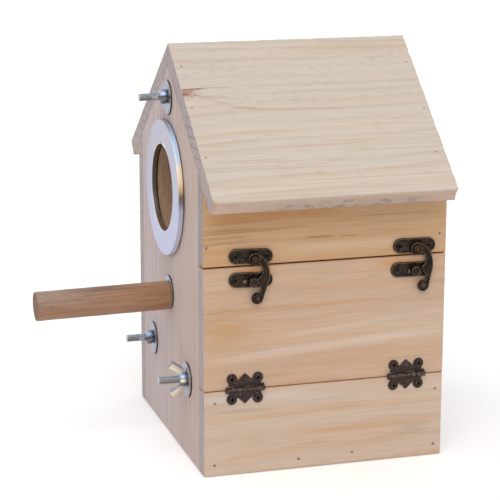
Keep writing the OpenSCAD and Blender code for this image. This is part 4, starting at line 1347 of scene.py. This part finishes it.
class NESTBOX_OT_latches(bpy.types.Operator):
    """Swing latches: beaded plates, horn-shaped hooks, posts and screws"""

    bl_idname = "nestbox.latches"
    bl_label = "Make the latches"

    def execute(self, context):
        tone = settings().metal.bronze
        # Lit and shaded copies of one bronze: the plates' copy is lighter to offset the shade they
        # sit in, the hook's darker.
        dark = bronze("antique_bronze", [1.16 * part for part in tone], 0.25, 1.4)
        arm = bronze("hook_bronze", [0.88 * part for part in tone], 0.3, 1.4)
        warm = bronze("warm_bronze", tone, 0.8)
        head = settings().metal.latch_screw / MM / 2
        side = corners_of("hook_plate_front")[0][0]
        for place, roll, lean, swing, nub_spot, nub_long in (
            ("front", 35, -1.8, -1.0, (-5.0, 0.4), 1.45),
            ("back", 10, -1.0, 5.8, (-3.6, -0.3), 1.0),
        ):
            rivet, post = centre_of("hook_rivet_" + place), centre_of("keeper_post_" + place)
            reach = rivet[2] - post[2]
            for kind, body, pin in (("hook", "box", rivet), ("keeper", "door", post)):
                node = kind + "_plate_" + place
                low, high = corners_of(node)
                centre, size = (low + high) / 2, high - low
                spot, pin_spot = (side, centre[1], centre[2]), (side, pin[1], pin[2])
                c, s = math.cos(math.radians(lean)), math.sin(math.radians(-lean))
                straight = (size[1] - size[2]) / (c - s)
                wide = size[1] - straight * c
                plate, wear_and_painted_light = bead_plate(straight + wide, wide)
                parts, wears = [placed(rolled(plate, lean), spot, *SIDE)], [wear_and_painted_light]
                if kind == "hook":
                    boss = [(0.01, 0.9), (2.3, 0.9), (2.3, 1.6), (2.15, 1.75), (0.01, 1.75)]
                    more = lathe(boss)
                else:
                    nub = [(1.4, 0.9), (1.35, 1.4), (1.15, 1.9), (0.7, 2.15), (0.01, 2.2)]
                    points, faces = turned(nub, 32)
                    more = shifted((points * (nub_long, 0.95, 1), faces), *nub_spot)
                parts.append(placed(more, pin_spot, *SIDE))
                wears.append(np.full(len(more[0]), 0.0 if kind == "hook" else 0.72))
                make_piece(
                    kind + "_cast_plate_" + place, parts, dark, body, [node],
                    wear_and_painted_light=wears,
                )
                screws, wears = [], []
                for offset in (-10, 10):
                    part = rolled(cross_screw(head, 0.55, 16), roll + offset)
                    wears.append(screw_wear(part, 0.55, 0.95))
                    part = rolled(shifted(part, offset, 0, 1.0), lean)
                    screws.append(placed(part, spot, *SIDE))
                make_piece(
                    kind + "_screws_" + place, screws, dark, body, wear_and_painted_light=wears
                )
            self.make_hook(place, rivet, reach, swing, arm)
            dome = [(2.0, 3.1), (2.6, 3.15), (2.6, 3.45), (2.35, 3.9), (1.8, 4.25), (1.0, 4.5)]
            dome = lathe([(0.01, 3.1), *dome, (0.01, 4.6)])
            make_piece(
                "rivet_head_" + place, [placed(dome, (side, rivet[1], rivet[2]), *SIDE)], warm,
                "box", ["hook_rivet_" + place],
                wear_and_painted_light=[np.clip(dome[0][:, 2] - 4.1, 0, 1)],
            )
            top = [
                (1.4, 3.5), (2.9, 3.5), (3.15, 3.7), (3.2, 4.1), (3.1, 4.5), (2.8, 4.7),
                (2.45, 4.65), (2.1, 4.4), (1.5, 4.22), (0.01, 4.2),
            ]
            worn = [0, 0, 0.2, 0.4, 0.55, 0.6, 0.5, 0.25, 0.1, 0.1]
            post_part = lathe([(1.4, 0.9), *top], facets=8, depth=0.05)
            wear_and_painted_light = np.repeat([0, *worn], settings().metal.turns)
            make_piece(
                "post_head_" + place, [placed(post_part, (side, post[1], post[2]), *SIDE)],
                dark, "door", ["keeper_post_" + place], wear_and_painted_light=[wear_and_painted_light],
            )
        return {"FINISHED"}

    def make_hook(self, place, rivet, reach, swing, finish):
        """The hook's arm with a rolled edge, a closed ring at its eye, and its thumb knob. Its
        brass edge is partly wear and partly a painted highlight, strong only on the outer side and
        the top of the eye.
        """
        levels = [
            (0.2, 0.0), (0.0, 0.2), (0.0, 1.0), (0.12, 1.28), (0.32, 1.4), (0.55, 1.33), (0.8, 1.2),
        ]
        wear_and_painted_light = np.array([0, 0, 0.1, 0.55, 0.95, 0.3, 0.0])
        loops = relief(lambda inset: hook_outline(inset, reach), levels)
        # Painted highlight: the rubbed brass is kept strong on the arm's outer side and the top of
        # the eye.
        eye = np.clip((5.4 - np.hypot(loops[..., 0], loops[..., 1])) / 0.6, 0, 1)
        eye *= np.clip((loops[..., 1] + 3.0) / 2.0, 0, 1)
        highlight_side = np.clip(np.maximum((loops[..., 0] - 1.0) / 2, eye), 0.3, 1)
        parts, wears = [stack(loops)], [(wear_and_painted_light[:, None] * highlight_side).ravel()]
        circle = arc((3.6, 1.1), 0.24, 0, 360, 10)[:-1]
        parts.append(lathe(circle.tolist(), closed=True))
        wears.append(np.repeat(np.clip(circle[:, 1] - 1.05, 0, 1) * 2.4, settings().metal.turns))
        rim = [
            (0.01, 0), (3.3, 0), (3.62, 0.25), (3.7, 0.7), (3.6, 1.25), (3.3, 1.6), (2.95, 1.62),
            (2.6, 1.5), (2.2, 1.75), (1.5, 2.25), (0.8, 2.5), (0.01, 2.6),
        ]
        worn = [0, 0, 0.1, 0.3, 0.5, 0.5, 0.2, 0.0, 0.1, 0.4, 0.55, 0.6]
        knob = lathe(rim, facets=9, depth=0.03)
        parts.append(shifted(knob, KNOB, -reach - KNOB_DROP))
        wears.append(np.repeat(worn, settings().metal.turns))
        low = corners_of("latch_hook_" + place)[0][0]
        make_piece(
            "horn_hook_" + place,
            [placed(rolled(part, swing), (low, rivet[1], rivet[2]), *SIDE) for part in parts],
            finish, "hook_" + place, ["latch_hook_" + place], wear_and_painted_light=wears,
        )


class NESTBOX_OT_hinges(bpy.types.Operator):
    """Butt hinges with pointed leaves, rolled knuckles and cross-head screws"""

    bl_idname = "nestbox.hinges"
    bl_label = "Make the hinges"

    def execute(self, context):
        finish = bronze("hinge_bronze", settings().metal.brown, 0.1, 0.45)
        head = settings().metal.hinge_screw / MM / 2
        for place in ("front", "back"):
            low, high = corners_of("hinge_pin_" + place)
            middle, side = (low + high) / 2, corners_of("hinge_upper_" + place)[0][0]
            out = middle[0] - side
            spot = (side, middle[1], middle[2])
            half = (high[1] - low[1]) / 2 - PIN_HEAD
            pitch = half / 2
            for leaf, body, up, first in (("upper", "door", 1, 1), ("lower", "box", -1, 0)):
                levels = [(0.12, 0.0), (0.0, 0.12), (0.0, 0.62), (0.14, 0.82), (0.4, 0.9)]
                outline = leaf_outline()
                loops = relief(lambda inset: pulled_in(outline, inset), levels)
                parts, wears = [stack(loops)], [np.repeat([0, 0, 0.15, 0.5, 0.1], loops.shape[1])]
                web = np.array([(0.1, 0.15), (2.6, 0.15), (2.6, 0.9), (1.2, 1.1), (0.1, 1.1)])
                for index in (first, first + 2):
                    start = -half + index * pitch + KNUCKLE_GAP / 2
                    end = start + pitch - KNUCKLE_GAP
                    knuckle = rod(KNUCKLE_RADIUS, start, end, bore=KNUCKLE_BORE)
                    parts.append(shifted(knuckle, 0, 0, out))
                    ends = np.array([start + 0.05, end - 0.05])
                    box = np.stack([np.column_stack((np.full(5, x), web)) for x in ends])
                    parts.append(stack(box))
                    for part in parts[-2:]:
                        wears.append(np.clip((part[0][:, 2] - out - 1.2) / 0.55, 0, 1) * 0.6)
                flip = [placed((part[0] * (1, up, 1), part[1]), spot, *SIDE) for part in parts]
                node = "hinge_%s_%s" % (leaf, place)
                make_piece(
                    "leaf_%s_%s" % (leaf, place), flip, finish, body, [node],
                    wear_and_painted_light=wears,
                )
                screws, wears = [], []
                for x, roll in ((-LOBE[0], 25), (LOBE[0], 62)):
                    part = rolled(cross_screw(head, 0.95), roll + 31 * up)
                    wears.append(screw_wear(part, 0.95, 0.85))
                    screws.append(placed(shifted(part, x, up * LOBE[1], 0.85), spot, *SIDE))
                make_piece(
                    "leaf_screws_%s_%s" % (leaf, place), screws, finish, body,
                    wear_and_painted_light=wears,
                )
            heads = [rod(PIN_HEAD_RADIUS, a, a + PIN_HEAD) for a in (-half - PIN_HEAD, half)]
            pin = [rod(PIN_RADIUS, -half, half), *heads]
            pin = [placed(shifted(part, 0, 0, out), spot, *SIDE) for part in pin]
            make_piece(
                "pin_" + place, pin, finish, "box", ["hinge_pin_" + place],
                wear_and_painted_light=[np.full(len(part[0]), 0.5) for part in pin],
            )
        return {"FINISHED"}


# ---------------------------------------------------------------- brads


def brad_steel():
    """Dull, tarnished steel of the brads' heads."""
    metal = Finish("brad_steel", {"Metallic": 0.7})
    spot = metal.place()
    tarnish = metal.noise(spot, 1400.0, 3.0)
    metal.feed("Base Color", metal.mix(tarnish, (0.17, 0.13, 0.105), (0.38, 0.31, 0.26)))
    metal.feed("Roughness", 0.4 + tarnish * 0.3)
    metal.bump(tarnish, 0.08)
    return metal.material


def crushed_wood_and_pit_shade():
    """Dented fibres round a brad, darkened partly as crushed wood and partly as painted shade of
    the pit the brad sits in; they fade out where the mesh attribute falls to 0.
    """
    wood = Finish("crushed_wood_and_pit_shade", {"Roughness": 0.8})
    spot = wood.place()
    fade = wood.wear_and_painted_light()
    rag = wood.noise(spot, 1900.0, 2.0)
    wood.feed("Base Color", wood.mix(rag, (0.16, 0.085, 0.05), (0.36, 0.22, 0.14)))
    wood.feed("Alpha", wood.step(fade + (rag - 0.5) * 0.5, 0.15, 0.75) * 0.75)
    wood.bump(rag, 0.1)
    return wood.material


class NESTBOX_OT_brads(bpy.types.Operator):
    """Brads that hold the boards, each in a small dent in the wood"""

    bl_idname = "nestbox.brads"
    bl_label = "Drive the brads"

    def execute(self, context):
        steel, dent = brad_steel(), crushed_wood_and_pit_shade()
        wood = settings().wood
        right = corners_of("right_lower_board")[1][0]
        left = corners_of("left_wall")[0][0]
        ridge = corners_of("roof_right")[1][2]
        c, s = math.cos(wood.roof_pitch), math.sin(wood.roof_pitch)
        side_spots = [
            (-78.0, 148.4), (75.5, 148.2), (-72.8, 47.9), (-73.2, 7.0), (-17.4, 6.0),
            (18.8, 7.0), (74.8, 7.1), (75.1, 45.0),
        ]
        left_spots = [(side, z) for z in (12, 62, 118, 168) for side in (-74.5, 74.0)]
        left_spots += [(-30, 6.2), (25, 5.6)]
        roof_spots = [
            (-75.4, 21.4), (-76.4, 58.7), (-76.8, 101.1), (76.1, 25.6), (75.8, 67.8),
            (72.4, 106.2),
        ]
        groups = (
            ("right", side_spots, lambda a, b: (right, a, b), (0, 1, 0), (0, 0, 1), 1.0),
            ("left", left_spots, lambda a, b: (left, a, b), (0, -1, 0), (0, 0, 1), 1.0),
            ("roof_right", roof_spots, lambda a, b: (b * c, a, ridge - b * s),
             (0, 1, 0), (-c, 0, s), 0.65),
            ("roof_left", roof_spots, lambda a, b: (-b * c, a, ridge - b * s),
             (0, -1, 0), (c, 0, s), 0.65),
        )
        for number, (name, spots, place, along, up, size) in enumerate(groups):
            random = np.random.default_rng(40 + number)
            heads, dents, wears = [], [], []
            for a, b in spots:
                half = wood.nail_head / MM / 2 * random.uniform(0.85, 1.1) * size
                head = turned([(1, 0), (0.96, 0.07), (0.75, 0.12), (0.01, 0.14)], 20)
                head = (head[0] * (half, half * random.uniform(0.5, 0.75), 1), head[1])
                turn = random.uniform(-35, 35)
                heads.append(placed(rolled(head, turn), place(a, b), along, up))
                # The dark ring round each head is partly crushed fibre and partly painted shade of
                # the pit the brad sits in.
                ring = turned([(1.9, 0.012), (1.5, 0.035), (1.1, 0.05), (0.01, 0.05)], 24)
                ring = (ring[0] * (half, half * 0.75, 1), ring[1])
                dents.append(placed(rolled(ring, turn), place(a, b), along, up))
                wears.append(np.repeat([0.0, 0.5, 1.0, 1.0], 24))
            make_piece("brads_" + name, heads, steel, "box")
            make_piece("brad_dents_" + name, dents, dent, "box", wear_and_painted_light=wears)
        return {"FINISHED"}


# ---------------------------------------------------------------- studio


class NESTBOX_OT_studio(bpy.types.Operator):
    """White floor and surroundings, soft lamps and the camera"""

    bl_idname = "nestbox.studio"
    bl_label = "Set up the studio"

    def execute(self, context):
        studio, scene = settings().studio, context.scene
        scene.view_settings.view_transform = "Standard"
        world = bpy.data.worlds.new("white_surroundings")
        scene.world = world
        world.use_nodes = True
        sky, back = Nodes(world.node_tree), world.node_tree.nodes["Background"]
        direct, glossy, passed = (
            sky.node("ShaderNodeLightPath", out=ray)
            for ray in ("Is Camera Ray", "Is Glossy Ray", "Is Transmission Ray")
        )
        level = sky.node("ShaderNodeMapRange", None, {
            "Value": direct.largest(glossy).largest(passed), "To Min": studio.sky, "To Max": 1.0,
        })
        sky.tree.links.new(level.link, back.inputs["Strength"])
        back.inputs["Color"].default_value = (1, 1, 1, 1)

        mesh = bpy.data.meshes.new("floor")
        corners = [(x * FLOOR_HALF, y * FLOOR_HALF, 0) for x, y in
                   ((-1, -1), (1, -1), (1, 1), (-1, 1))]
        mesh.from_pydata(corners, [], [(0, 1, 2, 3)])
        floor = bpy.data.objects.new("floor", mesh)
        floor.location.z = -FLOOR_GAP
        scene.collection.objects.link(floor)
        paper = Finish("floor_white", {
            "Roughness": 1.0, "Specular IOR Level": 0.0, "Base Color": (1, 1, 1, 1),
            "Emission Strength": 1.0,
        })
        seen = paper.node("ShaderNodeLightPath", out="Is Camera Ray")
        paper.feed("Emission Color", paper.mix(seen, (0, 0, 0), (0.16, 0.165, 0.17)))
        mesh.materials.append(paper.material)

        for name, energy, colour, spread, aim in (
            ("key", studio.key, (1.0, 0.97, 0.93), 50, (-0.75, 0.25, -1.0)),
            ("fill", studio.fill, (0.90, 0.95, 1.0), 60, (0.35, 1.0, -0.5)),
        ):
            lamp = bpy.data.lights.new(name, "SUN")
            lamp.energy, lamp.color, lamp.angle = energy, colour, math.radians(spread)
            lamp_object = bpy.data.objects.new(name, lamp)
            lamp_object.rotation_euler = Vector(aim).to_track_quat("-Z", "Y").to_euler()
            scene.collection.objects.link(lamp_object)

        lens = bpy.data.cameras.new("camera")
        lens.lens, lens.sensor_width, lens.clip_end = studio.lens, SENSOR_MM, FAR_END
        camera = bpy.data.objects.new("camera", lens)
        right, up = Vector(CAMERA_RIGHT), Vector(CAMERA_UP)
        turn = Matrix((right, up, right.cross(up))).transposed().to_4x4()
        camera.matrix_world = Matrix.Translation(CAMERA_AT) @ turn
        scene.collection.objects.link(camera)
        scene.camera = camera
        return {"FINISHED"}


# ---------------------------------------------------------------- panel and registration


class NESTBOX_PT_panel(bpy.types.Panel):
    """Settings and steps of the nest box"""

    bl_idname = "NESTBOX_PT_panel"
    bl_label = "Nest box"
    bl_space_type = "VIEW_3D"
    bl_region_type = "UI"
    bl_category = "Nest Box"

    def draw(self, context):
        layout, box = self.layout, context.scene.nest_box
        for group in (box.wood, box.metal, box.studio):
            column = layout.box().column(align=True)
            for key in group.bl_rna.properties.keys():
                if key not in ("rna_type", "name"):
                    column.prop(group, key)
        for step in STEPS:
            layout.operator(step.bl_idname)


STEPS = (
    NESTBOX_OT_boards, NESTBOX_OT_walls, NESTBOX_OT_ring, NESTBOX_OT_perch,
    NESTBOX_OT_fasteners, NESTBOX_OT_latches, NESTBOX_OT_hinges, NESTBOX_OT_brads,
    NESTBOX_OT_studio,
)
CLASSES = (
    NestBoxWood, NestBoxMetal, NestBoxStudio, NestBoxSettings, *STEPS, NESTBOX_PT_panel,
)


def register():
    """Adds the settings, the operators and the panel."""
    for cls in CLASSES:
        bpy.utils.register_class(cls)
    bpy.types.Scene.nest_box = PointerProperty(type=NestBoxSettings)


def unregister():
    """Removes what register() added."""
    del bpy.types.Scene.nest_box
    for cls in reversed(CLASSES):
        bpy.utils.unregister_class(cls)


def main():
    """Makes everything in order."""
    register()
    for step in STEPS:
        group, name = step.bl_idname.split(".")
        getattr(getattr(bpy.ops, group), name)()


if __name__ == "__main__":
    main()
